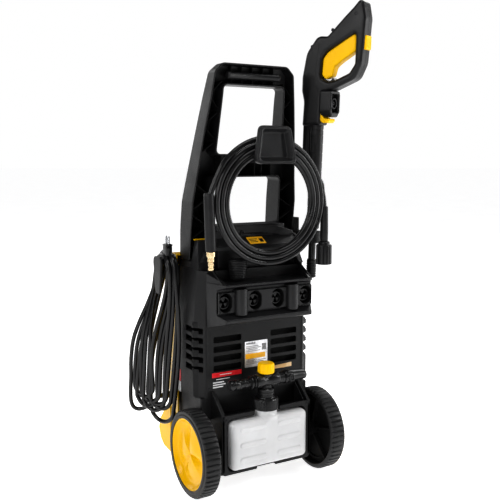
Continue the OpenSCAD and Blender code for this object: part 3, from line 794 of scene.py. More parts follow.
def brick(low, high, r=0.8, steps=2):
    """A block with rounded edges all along Z and softened top and bottom."""
    return plate([rect(low[0], low[1], high[0], high[1], r, 3)], "z", low[2], high[2], r * 0.8, steps)


def mirror_x(part):
    return [(-x, y, z) for x, y, z in part[0]], [f[::-1] for f in part[1]]


def both(*parts):
    """The parts and their mirror images on the other side of the machine."""
    return joined(*parts, *[mirror_x(part) for part in parts])


def piece(name, part, mat, node=None, slot=None, body="chassis", bevel=0.0, segments=2, sharp=38):
    """build() for rounded plates: flat faces keep flat shading through weighted normals."""
    obj = build(name, *part, mat, node, slot, body, bevel, segments, sharp)
    if not bevel:
        weigh_normals(obj)
    return obj


def between(table, z):
    """The value at height z in a table of (height, value), straight between its lines."""
    for (z0, v0), (z1, v1) in zip(table, table[1:]):
        if z <= z1:
            return v0 + (v1 - v0) * (z - z0) / (z1 - z0)
    return table[-1][1]


# ---- wheels ----------------------------------------------------------------------------------------------

WHEEL_IN, WHEEL_Z, RIBS = 133.5, 90, 50       # inner side, axle height, ribs of the tread
BORE = 6.06                  # radius of the holes round the axle


def on_wheel(part, side):
    part = moved(part, TO_X, (WHEEL_IN, 0, WHEEL_Z))
    return part if side > 0 else mirror_x(part)


def ribbed_tyre():
    rows = [(36.0, 73.6, 0), (36.0, 78.5, 0), (35.2, 79.4, 0), (34.4, 81, 0), (34.6, 84.5, 0),
        (34.2, 86.6, 0.1), (32.8, 88.4, 0.7), (31.2, 89.6, 1), (30.0, 90, 1), (18.4, 90, 1), (17.6, 90, 1),
        (5.2, 90, 1), (3.6, 89.4, 1), (2.0, 88.0, 0.7), (0.7, 86.4, 0.1), (0.0, 84.5, 0), (0.0, 80.2, 0),
        (0.8, 79.2, 0), (14.5, 77.6, 0), (33.0, 77.2, 0), (34.2, 73.6, 0)]
    # height of the tread over one rib, from groove to crest and back
    wave = [0, 0.5, 1.0, 1.0, 1.0, 1.0, 1.0, 0.5]
    sides = RIBS * len(wave)
    verts = gripped(rows, sides, 2.7, lambda k, a: 1 - wave[k % len(wave)])
    return verts, bands(len(rows), sides, True)


def wheel_core():
    web = lathe([(BORE, 14), (77.4, 14), (77.4, 18), (BORE, 18)], sides=96, closed=True)
    hub = lathe([(BORE, -2), (13.6, -2), (15, -0.6), (15, 22), (BORE, 22)], closed=True)
    parts = [web, hub, lathe([(66, 10.5), (69, 10), (69, 14.2), (66, 14.2)], sides=96, closed=True)]
    for k in range(6):
        spoke = plate([rect(14, 4, 77.6, 14.5, 1.0, 2)], "y", -1.5, 1.5, 0.5, 2)
        parts.append(moved(spoke, spin("Z", 60 * k + 15), (0, 0, 0)))
    return joined(*parts)


def hub_dish():
    """The dished cap: three soft lobes that meet at the middle, inside a turned rim."""
    sides = 180
    radii = [0, 3, 6, 9, 12, 15, 18, 22, 26, 30, 34, 38, 42, 46, 50, 54, 58, 61, 64, 66.5, 68.5, 70, 71.2,
        72.6]

    def height(r, a):
        lobe = abs(cos(1.5 * (a - radians(100))))
        puff = min(1.0, lobe * 1.55) ** 0.9
        fall = sin(pi * min(1.0, (r / 66.0)) ** 0.85) if r < 66 else 0.0
        base = 25.2 - 3.8 * sin(pi * min(1.0, r / 69.0) ** 1.4)
        lip = 9.4 * (max(0.0, (r - 58.0) / 13.2) ** 1.7) if r < 71.2 else 9.4
        return base + 8.0 * fall * puff * 0.9 + 2.2 * (1 - min(1.0, r / 20.0)) ** 2 + min(lip, 9.4)

    angles = around(sides)
    rings = [[(0, 0, height(0, 0))]]
    rings += [[(r * cos(a), r * sin(a), height(r, a)) for a in angles] for r in radii[1:]]
    rings += [circle(r, z, sides) for r, z in ((73.8, 34.3), (74.6, 33.4), (74.6, 18.4), (72.4, 18.2),
        (72.2, 27.5), (66, 21.5), (50, 18.6), (24, 18.4), (0, 18.4))]
    return skin(rings, sides)


def make_wheels():
    tyre, core, dish = ribbed_tyre(), wheel_core(), hub_dish()
    for side, word in ((-1, "left"), (1, "right")):
        body = word + "_road_wheel"
        build(word + "_tyre", *on_wheel(tyre, side), "wheel", word + "_wheel", body=body, sharp=24)
        # the web and hub inside the wheel take the darker inner black: painted shade inside the wheel
        piece(word + "_wheel_core", on_wheel(core, side), "inner", slot="wheel_plastic", body=body,
            sharp=30)
        # the hub caps' darker amber is painted shade against the key light on them
        build(word + "_hub_dish", *on_wheel(dish, side), "amber_hub", word + "_hubcap", body=body, sharp=50)


# ---- base frame ------------------------------------------------------------------------------------------

def make_base():
    front = rounded([(-30, 171), (-108, 171), (-108, 43), (-25, 43), (-25, 47.6), (20, 47.6), (20, 43),
        (108, 43), (108, 171), (30, 171), (30, 161), (95, 161), (95, 50), (-95, 50), (-95, 161),
        (-30, 161)], [2, 4, 8, 2, 1, 1, 2, 8, 4, 2, 3, 12, 12, 12, 12, 3], 4)
    frame_front = plate([front], "y", -40, -33.9, 1.4)
    cheek = board([(-40, 43), (190, 43), (190, 196), (7.4, 196), (7.4, 212), (-36, 174), (-40, 170)],
        [8, 8, 2, 0, 1.5, 3, 2], 3, "x", 101, 107.9, 1.2)
    boss = lathe([(BORE, 107), (15, 107), (15, 129.2), (13.8, 130.4), (BORE, 130.4)], (0, 0, 90), TO_X, 48,
        closed=True)
    # gusset that stiffens each tray end, and the walls of the bottle bay
    gusset = board([(-34, 155), (7, 155), (7, 205), (-30, 171)], 1.0, 2, "x", 96, 98.4, 0.6, 2)
    walls = [brick((94.5, -34, 44), (101.4, -11, 155)), cheek, boss, gusset]
    parts = [frame_front] + walls + [mirror_x(w) for w in walls]
    parts += [brick((-101.4, -34, 43.6), (-25, -11, 50)), brick((20, -34, 43.6), (101.4, -11, 50)),
        brick((-25, -30, 43.6), (20, -11, 50)), brick((-101.4, -11.2, 43.4), (101.4, 19.8, 155)),
        brick((-101.4, 14, 154), (101.4, 20, 196)), brick((-101.4, 19, 43.4), (101.4, 184, 50)),
        brick((-101.4, 184, 43.4), (101.4, 189.9, 195.8))]
    # ledge behind the top bar, split for the bottle's neck
    parts += [brick((-101.4, -34.2, 161.4), (-31, -30, 168)), brick((31, -34.2, 161.4), (101.4, -30, 168))]
    side = board([(12, 140), (114, 140), (114, 198), (12, 198)], 1, 1, "x", 127.4, 130.4, 0.6, 2)
    back = board([(100, 150), (129.5, 150), (129.5, 198), (100, 198)], 1, 1, "y", 9, 12.4, 0.6, 2)
    parts += [side, back, mirror_x(side), mirror_x(back)]
    piece("base_frame", joined(*parts), "casing", "base")


# ---- casing ----------------------------------------------------------------------------------------------

def plan_path():
    """The casing's plan from the left seam round the rear to the right seam, with its bends rounded."""
    pts = [(-136, 115), (-136, 28), (-121, 8), (121, 8), (136, 28), (136, 115)]
    path = [pts[0]]
    for i in range(1, 5):
        path += rounded([pts[i - 1], pts[i], pts[i + 1]], [0, 6, 0], 4)[1:6]
    return path + [pts[-1]]


PATH = plan_path()
ALONG = [0.0]
for p_a, p_b in zip(PATH, PATH[1:]):
    ALONG.append(ALONG[-1] + dist(p_a, p_b))
MIDDLE = ALONG[-1] / 2
BEND = MIDDLE - 121          # place along the path of the left rear corner
ROWS = [251 + 20.2 * i for i in range(5)]     # feet of the air slots
SLOT_H = 13


def on_casing(s, z, depth):
    """A point on the casing's wall from its place along the plan, its height and its depth inwards."""
    i = max(k for k in range(len(ALONG) - 1) if ALONG[k] <= s + 1e-6)
    a, b = Vector(PATH[i]), Vector(PATH[i + 1])
    d = (b - a).normalized()
    normal = Vector((-d.y, d.x))
    f = (s - ALONG[i]) / (ALONG[i + 1] - ALONG[i])
    if f < 1e-5 and i > 0:
        before = (a - Vector(PATH[i - 1])).normalized()
        normal = (normal + Vector((-before.y, before.x))).normalized()
    p = a + (b - a) * f + normal * depth
    half = 136 if z <= 366 else 136 - 7 * (z - 366) / 97
    return (p.x * half / 136, p.y, z)


def make_casing():
    vents = []
    for z in ROWS[:4]:
        vents += [(MIDDLE - 102, z, MIDDLE - 36, z + SLOT_H, 3.2, 1.4),
            (MIDDLE + 36, z, MIDDLE + 102, z + SLOT_H, 3.2, 1.4)]
    for z in ROWS:
        near, far = BEND - 4.6, BEND - 67
        vents += [(far, z, near, z + SLOT_H, 2.6, 1.4),
            (2 * MIDDLE - near, z, 2 * MIDDLE - far, z + SLOT_H, 2.6, 1.4)]
    sheet = pierced(ALONG, [196.4, 228, 366, 463], vents)
    shell = thick(sheet, on_casing, 0, 3)
    # closing plate at the top with the well behind the rack, and the well's lining
    lip = rounded([(-128, 26), (-114, 8.2), (-100, 8.2), (-100, 38), (100, 38), (100, 8.2), (114, 8.2),
        (128, 26), (128, 114.8), (-128, 114.8)], [4, 4, 0, 3, 3, 0, 4, 4, 0, 0], 3)
    parts = [shell, plate([lip], "z", 459.9, 462.9, 0.5, 2), brick((-103, 9, 438), (103, 41, 441), 0.3),
        brick((-103, 38, 441), (103, 41, 460)), brick((-103, 9, 441), (-100, 39, 460), 0.3),
        brick((100, 9, 441), (103, 39, 460), 0.3)]
    piece("casing_shell", joined(*parts), "casing", "rear_shell", bevel=0.55)
    # flared fins at the two rear corners, between the slots: bottom, full width up to, faded out at
    fins = []
    for z0, z1, z2 in [(200, 252, 258)] + [(z + 13.2, z + 21.2, z + 27.2) for z in
            ROWS[:4]] + [(345.2, 352, 357)]:
        verts = []
        for z, e in ((z0, 0.3), (z0 + 0.3, 4.5), (z1, 4.5), (z2, 0.3)):
            verts += [(x, y, z) for x, y in ((135.2, 38), (135.2, 29), (129.4, 21), (131.5, 21.6),
                (136 + e, 26.5 - 0.15 * e), (136 + e, 33), (136.1, 38))]
        fins.append((verts, [list(range(7))[::-1], list(range(21, 28))] + bands(4, 7)))
    piece("corner_fins", both(*fins), "casing", slot="casing_plastic", bevel=0.3, segments=1)
    # slanted blades behind the corner slots, and the edge of the rear panel
    blades = []
    for side in (0, 1):
        for z in ROWS:
            s0, s1 = BEND - 66, BEND - 5
            stops = sorted({s0, s1} | {s for s in ALONG if s0 < s < s1})
            verts = [on_casing(s, z + up, depth) for s in stops for depth, up in
                ((0.4, -0.8), (18, 4.2), (18, 5.6), (0.4, 0.8))]
            m = len(stops)
            blade = verts, [[0, 1, 2, 3], [4 * m - 1, 4 * m - 2, 4 * m - 3, 4 * m - 4]] + bands(m, 4)
            blades.append(mirror_x(blade) if side else blade)
    edge = brick((-118.4, 6.9, 199), (-115.4, 9, 345), 0.7)
    piece("casing_blades", joined(*blades, both(edge)), "casing", slot="casing_plastic")
    # a dark sheet behind the slots, in the darker inner black: painted shade seen through the vents
    back = board([(-113, 110), (-113, 34), (-106, 24), (106, 24), (113, 34), (113, 110), (115, 110),
        (115, 33), (107, 22), (-107, 22), (-115, 33), (-115, 110)], 0.5, 2, "z", 204, 436, 0.4, 1)
    web = brick((103.4, 9.4, 204), (105.4, 25, 436), 0.3, 1)
    piece("vent_baffle", joined(back, both(web)), "inner", slot="casing_plastic")


def bars(table, y0, y1):
    """Printed bars that stand upright, from rows of (x0, x1, z, height)."""
    return joined(*[plate([rect(x0, z, x1, z + h, 0.4)], "y", y0, y1, 0.08, 1) for x0, x1, z, h in table])


def make_labels():
    """Foil and printed plates on the rear face, the hood and the side; they carry only plain bars."""
    y = 7.95                 # just in front of the rear face
    silver = plate([rect(-28, 249.5, 28, 306, 1.6)], "y", y - 0.75, y, 0.25, 2)
    piece("rating_foil", silver, "silver_label", "rating_plate")
    band = plate([rect(-26.5, 268, 22, 279, 0.8)], "y", y - 0.95, y - 0.6, 0.1, 1)
    piece("rating_band", band, "amber_label", slot="plate_metal")
    rules = [(-25, -2, 299.5, 3.2), (-25, 6, 294, 1.4), (-25, 12, 290.6, 1.4), (-25, 3, 287.2, 1.4),
        (-25, 10, 283.8, 1.4), (14, 25, 284, 14), (-25, 24, 263, 1.3), (-25, 18, 259.6, 1.3),
        (-25, 22, 256.2, 1.3)]
    piece("rating_rules", bars(rules, y - 0.95, y - 0.6), "grey_label", slot="plate_metal")
    red = plate([rect(-106, 238.6, -36, 248.6, 1.0)], "y", y - 0.6, y, 0.15, 1)
    piece("red_strip", red, "red_label", slot="casing_plastic")
    marks = [(-96, -64, 233.4, 1.5), (-104, -78, 226.5, 2.6), (-104, -74, 221.5, 2.6),
        (-104, -80, 216.5, 2.6)]
    marks = joined(bars(marks, y - 0.5, y), bars([(-88, -60, 242.8, 1.6)], y - 0.75, y - 0.4))
    piece("pale_rules", marks, "pale_label", slot="casing_plastic")
    cream = board([(36, 237), (90, 237.5), (90, 247), (36, 244)], 0.8, 3, "y", y - 0.6, y, 0.15, 1)
    piece("cream_strip", cream, "cream_label", slot="casing_plastic")
    # label that lies on the hood's deck, which rises by 9 mm in 16 mm
    slope = lambda u, v, t: (u, -6 + v * 0.872, 512 + v * 0.49 + t)
    label = placed(slab([rect(-19, 5, 20, 29, 1.2)], 0.1, 0.7, 0.2, 1), slope)
    piece("deck_label", label, "amber_label", slot="trim_plastic")
    ink = [placed(slab([loop], 0.5, 0.95, 0.08, 1), slope) for loop in
        (rect(-16, 20, 4, 22.5, 0.4), rect(-16, 15, 0, 17, 0.4), rect(-16, 10, 2, 12, 0.4),
        rect(8, 10, 17, 22, 1.0))]
    piece("deck_ink", joined(*ink), "casing", slot="trim_plastic")
    for word, z0, z1 in (("red", 214, 240), ("pale", 190, 213)):
        side = placed(slab([rect(96, z0, 113.5, z1, 1.2)], 0, 0.6, 0.2, 1),
            lambda u, v, t: (-136.05 - t, u, v))
        piece("side_" + word, side, word + "_label", slot="casing_plastic")


# ---- rack ------------------------------------------------------------------------------------------------

def rack_half(y):
    return between([(-51, 102), (-34, 113), (7.8, 118)], y)


RACK_X = (-96, -27, 27, 96)  # middles of the four holes
BEHIND_BAND = 8              # the run of the ledges' profile that stays open behind the band


def make_rack():
    pills = [(x - 14.6, 383.2, x + 14.6, 422.8, 14.3, 0.6) for x in RACK_X]
    half = rack_half(-36)
    sheet = pierced([-half, half], [382, 424], pills, 8)
    band = thick(sheet, lambda u, v, d: (u, -36 + d, v), 0, 6)
    # the ledges above and below, closed behind the band
    profile = [(7.8, 348), (-46, 361), (-49.2, 363), (-50, 365), (-50, 369), (-49, 371), (-31, 378),
        (-30, 380.4), (-30, 382.2), (-30, 423.8), (-30, 427), (-30.6, 430), (-48.6, 436), (-50, 437.4),
        (-50, 440), (-49, 441), (7.8, 441)]
    verts = [(end * rack_half(y), y, z) for end in (-1, 1) for y, z in profile]
    n = len(profile)
    faces = [list(range(n)), list(range(2 * n - 1, n - 1, -1))]
    faces += [face for i, face in enumerate(bands(2, n)) if i != BEHIND_BAND]
    # backs of the recesses: a sleeve for each pill between the band and its floor
    sleeves, floors = [], []
    for x in RACK_X:
        pill = rounded([(x - 14.8, 383), (x + 14.8, 383), (x + 14.8, 423), (x - 14.8, 423)], 14.5, 8)
        sleeves.append(placed(rim(pill, [(0.0, -34), (0.0, -9.4), (14.0, -9.6), (13.5, -10.4), (1.2, -10.4),
            (1.2, -34)]), ON_Y))
        floors.append(plate([offset(facing(pill), 1.0)], "y", -12.6, -10.6, 0.2, 1))
    pillars = []
    for x in (-61.5, 61.5):
        prof = [(0, 376), (12.4, 376), (14, 377.6), (14, 428.4), (12.4, 430), (0, 430)]
        pillars.append(lathe(prof, (x, -35, 0), None, 48))
    # end facets that rise outwards to the casing
    wedge = ([(100.5, -49, 440.4), (117.6, 7.6, 440.4), (117.6, 7.6, 459.5), (108, 7.6, 461.5),
        (95, -49, 441.6), (108, 7.6, 440.4), (95, -49, 440.4)],
        [[0, 1, 2], [0, 2, 3, 4], [0, 4, 6], [6, 4, 3, 5], [1, 5, 3, 2], [0, 6, 5, 1]])
    inner = plate([rect(-half + 2, 380, half - 2, 426)], "y", -9.5, 7.6, 0.4, 1)
    piece("rack_ledges", (verts, faces), "trim", "accessory_rack", bevel=1.1, segments=3, sharp=25)
    piece("rack_band", band, "trim", slot="trim_plastic", bevel=0.7, sharp=35)
    # the sleeves, back plate and floors of the recesses take the darker inner black: painted shade in the
    # wells
    piece("rack_recesses", joined(*sleeves, inner), "inner", slot="trim_plastic")
    piece("rack_recess_floors", joined(*floors), "inner", slot="trim_plastic")
    piece("rack_pillars", joined(*pillars), "trim", slot="trim_plastic", sharp=50)
    piece("rack_ends", both(wedge), "trim", slot="trim_plastic", bevel=1.0, segments=3)
    parts = []
    for x in RACK_X:
        at = (x, -27, 402)
        # a thin ring set back in the well, with three fingers that leave a three-armed gap
        ring = lathe([(10.6, 0), (12.4, 0), (13.2, 0.7), (13.4, 2), (13.4, 12), (10.4, 12), (10.4, 0.6)],
            at, TO_Y, 64, closed=True)
        lugs = []
        for k in range(3):
            lug = board([(2.2, -1.2), (10.8, -7.0), (10.8, 7.0), (2.2, 1.2)], [1, 2, 2, 1], 3, "z", 3, 9,
                0.7, 2)
            lug = moved(lug, spin("Z", 30 + 120 * k), (0, 0, 0))
            lugs.append(moved(lug, TO_Y, at))
        parts += [ring] + lugs
    piece("rack_socket_rings", joined(*parts), "foam", "rack_sockets", sharp=35)
    # blackened screws sunk in the base and casing
    heads = []
    for x, y, z in ((112, 8, 214), (101, -40, 164)):
        for side in (-1, 1):
            heads.append(lathe([(4.4, 1.2), (4.4, -0.4), (3.7, -0.9), (2.8, -0.5), (2.6, 0.9), (1.3, 1.0),
                (1.2, 0.5), (0, 0.5), (0, 1.2)], (side * x, y - 0.05, z), TO_Y, 32))
    piece("casing_screw_heads", joined(*heads), "black_steel", "casing_screws", sharp=30)


# ---- foam set --------------------------------------------------------------------------------------------

FOAM_Y, LANCE_Z = -33, 230   # the bottle's neck and the lance's arms


def bottle():
    """Blow-moulded body: a rounded box with six raised bars on the face, and a short neck."""
    x1, y0, y1, z0, z1, r = 91.5, -55.2, -12.0, 54.0, 157.0, 10.0
    raised = [(x0, xx, z) for z in (76, 107.5, 140) for x0, xx in ((-73, -13), (16, 73))]

    def swell(x, z):
        h = 0.0
        for a, b, zc in raised:
            dx = max(a + 4.5 - x, 0, x - b + 4.5)
            d = hypot(dx, z - zc)
            t = max(0.0, min(1.0, (6.2 - d) / 2.6))
            h = max(h, eased(t))
        edge = max(0.0, 1 - (abs(x) / 92.0) ** 6) * max(0.0, 1 - (abs(z - 103.7) / 54.0) ** 6)
        return 1.7 * h + 0.5 * edge

    n_front, n_arc = 116, 8

    def ring_points(inset, z):
        w, a, b = x1 - inset, y0 + inset, y1 - min(inset, 6)
        rr = max(1.2, 11 - inset * 0.6)
        rb = max(1.0, 5 - inset * 0.4)
        pts = []
        for k in range(n_front + 1):
            x = -(w - rr) + 2 * (w - rr) * k / n_front
            pts.append((x, a - (swell(x, z) if inset < 0.5 else 0.0), z))
        for cx, cy, q, rad in ((w - rr, a + rr, -90, rr), (w - rb, b - rb, 0, rb),
                (-(w - rb), b - rb, 90, rb), (-(w - rr), a + rr, 180, rr)):
            for k in range(n_arc + 1):
                if (q == -90 and k == 0) or (q == 180 and k == n_arc):
                    continue
                t = radians(q + 90 * k / n_arc)
                pts.append((cx + rad * cos(t), cy + rad * sin(t), z))
        return pts

    levels = edge_levels(z0, z1, r, r, 6, 66)
    verts = [point for inset, z in levels for point in ring_points(inset, z)]
    per = len(verts) // len(levels)
    faces = [list(range(per))[::-1], [len(verts) - per + i for i in range(per)]] + bands(len(levels), per)
    neck = lathe([(0, 150), (27, 150), (27, 156.6), (24.6, 158.0), (23.2, 160.5), (22.8, 166), (22.8, 190),
        (19, 190), (19, 152), (0, 152)], (0, FOAM_Y, 0), None, 72)
    return joined((verts, faces), neck)


def make_foam_set():
    build("bottle_body", *bottle(), "milk", "foam_bottle", body="foam_set", sharp=60)
    sides = 144
    rows = [(170.0, 24.2, 0), (170.0, 25.4, 0), (171.0, 26.0, 1), (189.6, 26.0, 1), (191.5, 25.4, 0.5),
        (193.6, 23.6, 0), (194.2, 18.4, 0), (196.0, 17.6, 0), (197.6, 18.0, 0), (200.2, 18.0, 0),
        (200.9, 17.0, 0), (202.4, 17.0, 0), (203.1, 18.0, 0), (206.2, 18.0, 0), (206.9, 17.0, 0),
        (208.4, 17.0, 0), (209.1, 18.0, 0), (212.6, 18.0, 0), (214.0, 16.4, 0), (214.0, 8.2, 0),
        (191, 8.2, 0), (190.2, 23.4, 0), (170.6, 23.4, 0)]
    verts = gripped(rows, sides, 1.1, lambda k, a: 1 if k % 3 == 0 else 0, 0, FOAM_Y)
    build("bottle_collar", verts, bands(len(rows), sides, True), "foam", "foam_collar", body="foam_set",
        sharp=30)

    at = (0, FOAM_Y, LANCE_Z)
    stem = lathe([(0, 214.2), (13, 214.2), (13.4, 215), (13.4, 217.4), (12.4, 218), (12.4, 221),
        (11.2, 222), (11.2, 238), (12.6, 240), (12.6, 243.4), (9, 244.4), (9, 246.2), (0, 246.2)],
        (0, FOAM_Y, 0), None, 64)
    tee = lathe([(5.2, -88), (8.2, -88), (9.8, -87), (10.9, -84.5), (10.9, -80), (9.2, -78.6), (9.2, -76.4),
        (10.9, -75), (10.9, -68), (10.2, -66.2), (10.9, -64.6), (10.9, -62.4), (8.8, -61.2), (8.8, -54),
        (9.8, -53), (9.8, -47), (8.8, -46), (8.8, -41.4), (11.0, -40), (13.6, -39.4), (14.2, -38.4),
        (14.2, -36.4), (11.8, -35.4), (11.8, -33.4), (14.2, -32.4), (14.2, -30.4), (11.8, -29.4),
        (11.8, -27.4), (14.2, -26.6), (14.8, -25.2), (15, -23), (15, -8), (14.2, -6.5), (14.2, 6.5),
        (15, 8), (15, 26), (14, 28), (12, 28.6), (12, 41.4), (11.2, 42), (0, 42), (0, -20), (5.2, -20)], at,
        TO_X, 72)
    ribs = []
    for a in (-52, -18, 18, 52, 128, 162, 198, 232):
        rib = plate([rect(9, -15.4, 26, -13.8, 0.3)], "z", -1.2, 1.2, 0.3, 1)
        ribs.append(moved(rib, spin("X", a), at))
    # flat web between the stem and the tee's arms
    web = board([(-22, 219), (26, 219), (26, 229), (-22, 229)], 2.0, 3, "y", -34.6, -31.4, 0.6, 2)
    build("lance_body", *joined(stem, tee, web, *ribs), "foam", "foam_lance_body", body="foam_set",
        sharp=32)

    # knob with ten soft flats
    sides = 120
    rows = [(246.4, 15.0, 0), (246.6, 16.6, 0), (248.0, 17.8, 0.6), (250.0, 18.0, 1), (262.5, 17.8, 1),
        (265.6, 17.0, 0.7), (267.4, 15.2, 0.3), (268.1, 12.2, 0), (267.6, 9.0, 0), (267.5, 0.01, 0)]
    verts = gripped(rows, sides, 1.1, lambda k, a: abs(cos(5 * a)) ** 6, 0, FOAM_Y)
    faces = bands(len(rows), sides) + [list(range(sides))[::-1]]
    build("lance_knob", verts, faces, "amber", "foam_knob", body="foam_dial", sharp=40)

    # nozzle: a round coupling that flattens towards the outlet
    rows = [(42.3, 11, 11), (42.5, 13.4, 13.4), (43.6, 14, 14), (47, 14, 14), (47.8, 13.2, 13.2),
        (49.4, 13.2, 13.2), (50.2, 14, 14), (61, 14, 14), (64, 13.4, 12.8), (74, 13.0, 11.6),
        (86, 12.6, 10.6), (94.4, 12.2, 10.0), (95.8, 11.2, 9.0), (95.8, 6.4, 4.2), (72, 5.6, 4.0)]
    sides = 64
    angles = around(sides)
    verts = [(x, FOAM_Y + ry * cos(a), LANCE_Z + rz * sin(a)) for x, ry, rz in rows for a in
        angles]
    faces = bands(len(rows), sides)
    faces += [list(range(sides))[::-1], [(len(rows) - 1) * sides + k for k in range(sides)]]
    frame_loops = [rect(50.5, 222.5, 61.5, 237.5, 2.0), rect(52.8, 225, 59.2, 235, 1.0)]
    window = plate(frame_loops, "y", -48.4, -44.5, 0.5, 2)
    catch = plate([rect(54.6, 227, 57.4, 233, 0.8)], "y", -47.6, -44.8, 0.4, 2)
    build("lance_nozzle", *joined((verts, faces), window, catch), "foam", "foam_nozzle", body="foam_tip",
        sharp=34)

    # spare rotating nozzle on the shelf, ribbed all round
    prof = [(0, 441.4), (11.5, 441.4), (13.4, 442.2), (15.2, 444.4), (16.4, 447)]
    z = 448.0
    for k in range(10):
        r = 16.6 + min(k, 4) * 0.6
        prof += [(r - 1.3, z), (r, z + 0.9), (r, z + 2.5), (r - 1.3, z + 3.3)]
        z += 3.55
    prof += [(17.2, z + 0.4), (16.4, z + 1.8), (14.0, z + 2.4), (8.4, z + 2.4), (7.4, z + 1.6),
        (7.2, z - 8), (0, z - 8)]
    build("spare_nozzle_body", *lathe(prof, (-51, -4, 0), None, 96), "trim", "turbo_nozzle",
        body="spare_nozzle", sharp=40)


# ---- handle ----------------------------------------------------------------------------------------------

HANDLE_REAR = [(480, 69), (545, 60), (608, 51), (650, 45), (750, 28), (811, 17), (881, 8)]
HANDLE_FRONT = [(480, 114), (545, 113), (608, 104), (650, 95), (750, 70), (811, 57), (881, 36)]
OUTER_X = [(480, 127), (600, 126), (650, 120), (750, 108.5), (811, 100), (858, 94)]
INNER_X = [(480, 87), (652, 80), (700, 77.5), (838, 70.5), (860, 70)]


FRONT = 1000.0               # added to a depth that is counted back from the handle's front face


def from_rear(u, v, t):
    """A point at depth t from the handle's rear edge, or from its front face when t is at least FRONT."""
    return (u, between(HANDLE_FRONT, v) - (t - FRONT) if t >= FRONT else between(HANDLE_REAR, v) + t, v)


def dense(loop):
    """The outline with more points on its long sides, so that it can follow the handle's bend."""
    out = []
    for a, b in zip(loop, loop[1:] + loop[:1]):
        n = max(1, int(dist(a, b) / 14.0))
        out += [(a[0] + (b[0] - a[0]) * k / n, a[1] + (b[1] - a[1]) * k / n) for k in range(n)]
    return out


def make_handle():
    right = [(127, 480), (126, 600), (120, 650), (108.5, 750), (100, 811), (93.5, 864), (76, 880.6)]
    outline = rounded([(-87, 480), (-127, 480)] + [(-x, z) for x, z in right[1:]] + right[::-1] +
        [(87, 480), (80, 652), (-80, 652)], [0, 0, 60, 60, 60, 60, 14, 14, 14, 14, 60, 60, 60, 60, 0, 0, 10,
        10], 5)
    window = rounded([(-77.5, 700), (77.5, 700), (70.5, 838), (-70.5, 838)], 9, 5)
    outline, window = dense(outline), dense(window)
    section = [(0, FRONT + 1), (0, 2.0), (0.4, 0.7), (1.2, 0.08), (2.2, 0.08), (3.0, 0.7), (3.4, 2.0),
        (3.4, FRONT + 1)]
    parts = [placed(rim(outline, section), from_rear), placed(rim(window, section, True), from_rear)]
    web = slab([outline, window], 0, 3, 0.2, 1, 1.6)
    parts.append(placed(web, lambda u, v, t: (u, between(HANDLE_FRONT, v) - 3 + t, v)))
    ribs = []
    for i, z in enumerate([500, 532, 564, 596, 628, 712, 742, 772, 802, 832]):
        rise = 13 if i % 2 == 0 else -13
        for side in (-1, 1):
            ends = [(between(INNER_X, z - rise) + 1.5, z - rise), (between(OUTER_X, z + rise) - 1.5,
                z + rise)]
            verts = []
            for x, zz in ends:
                for dz, t in ((-0.9, 9), (0.9, 9), (0.9, FRONT + 2), (-0.9, FRONT + 2)):
                    px, py, pz = from_rear(x, zz, t)
                    verts.append((side * px, py, pz + dz))
            ribs.append((verts, [[0, 1, 2, 3], [7, 6, 5, 4], [0, 4, 5, 1], [1, 5, 6, 2], [2, 6, 7, 3],
                [3, 7, 4, 0]]))
    for x in (-50, -25, 0, 25, 50):
        ribs.append(brick((x - 0.8, 24, 840), (x + 0.8, 46, 879), 0.2, 1))
    for x in (-60, -20, 20, 60):
        ribs.append(brick((x - 0.9, 50, 654), (x + 0.9, 84, 698), 0.2, 1))
    piece("handle_channel", joined(*parts), "handle", "handle_frame", sharp=40)
    # the ribs in the handle's channel take the darker inner black: painted shade in the channel
    piece("handle_ribs", joined(*ribs), "inner", slot="casing_plastic", sharp=30)
    bar = lathe([(0, -62), (6.9, -62), (8, -61), (8, -57), (7.5, -56), (7.5, 56), (8, 57), (8, 61),
        (6.9, 62), (0, 62)], (0, 20, 857), TO_X, 64)
    build("handle_bar", *bar, "trim", "handle_grip", sharp=50)


# ---- hooks -----------------------------------------------------------------------------------------------

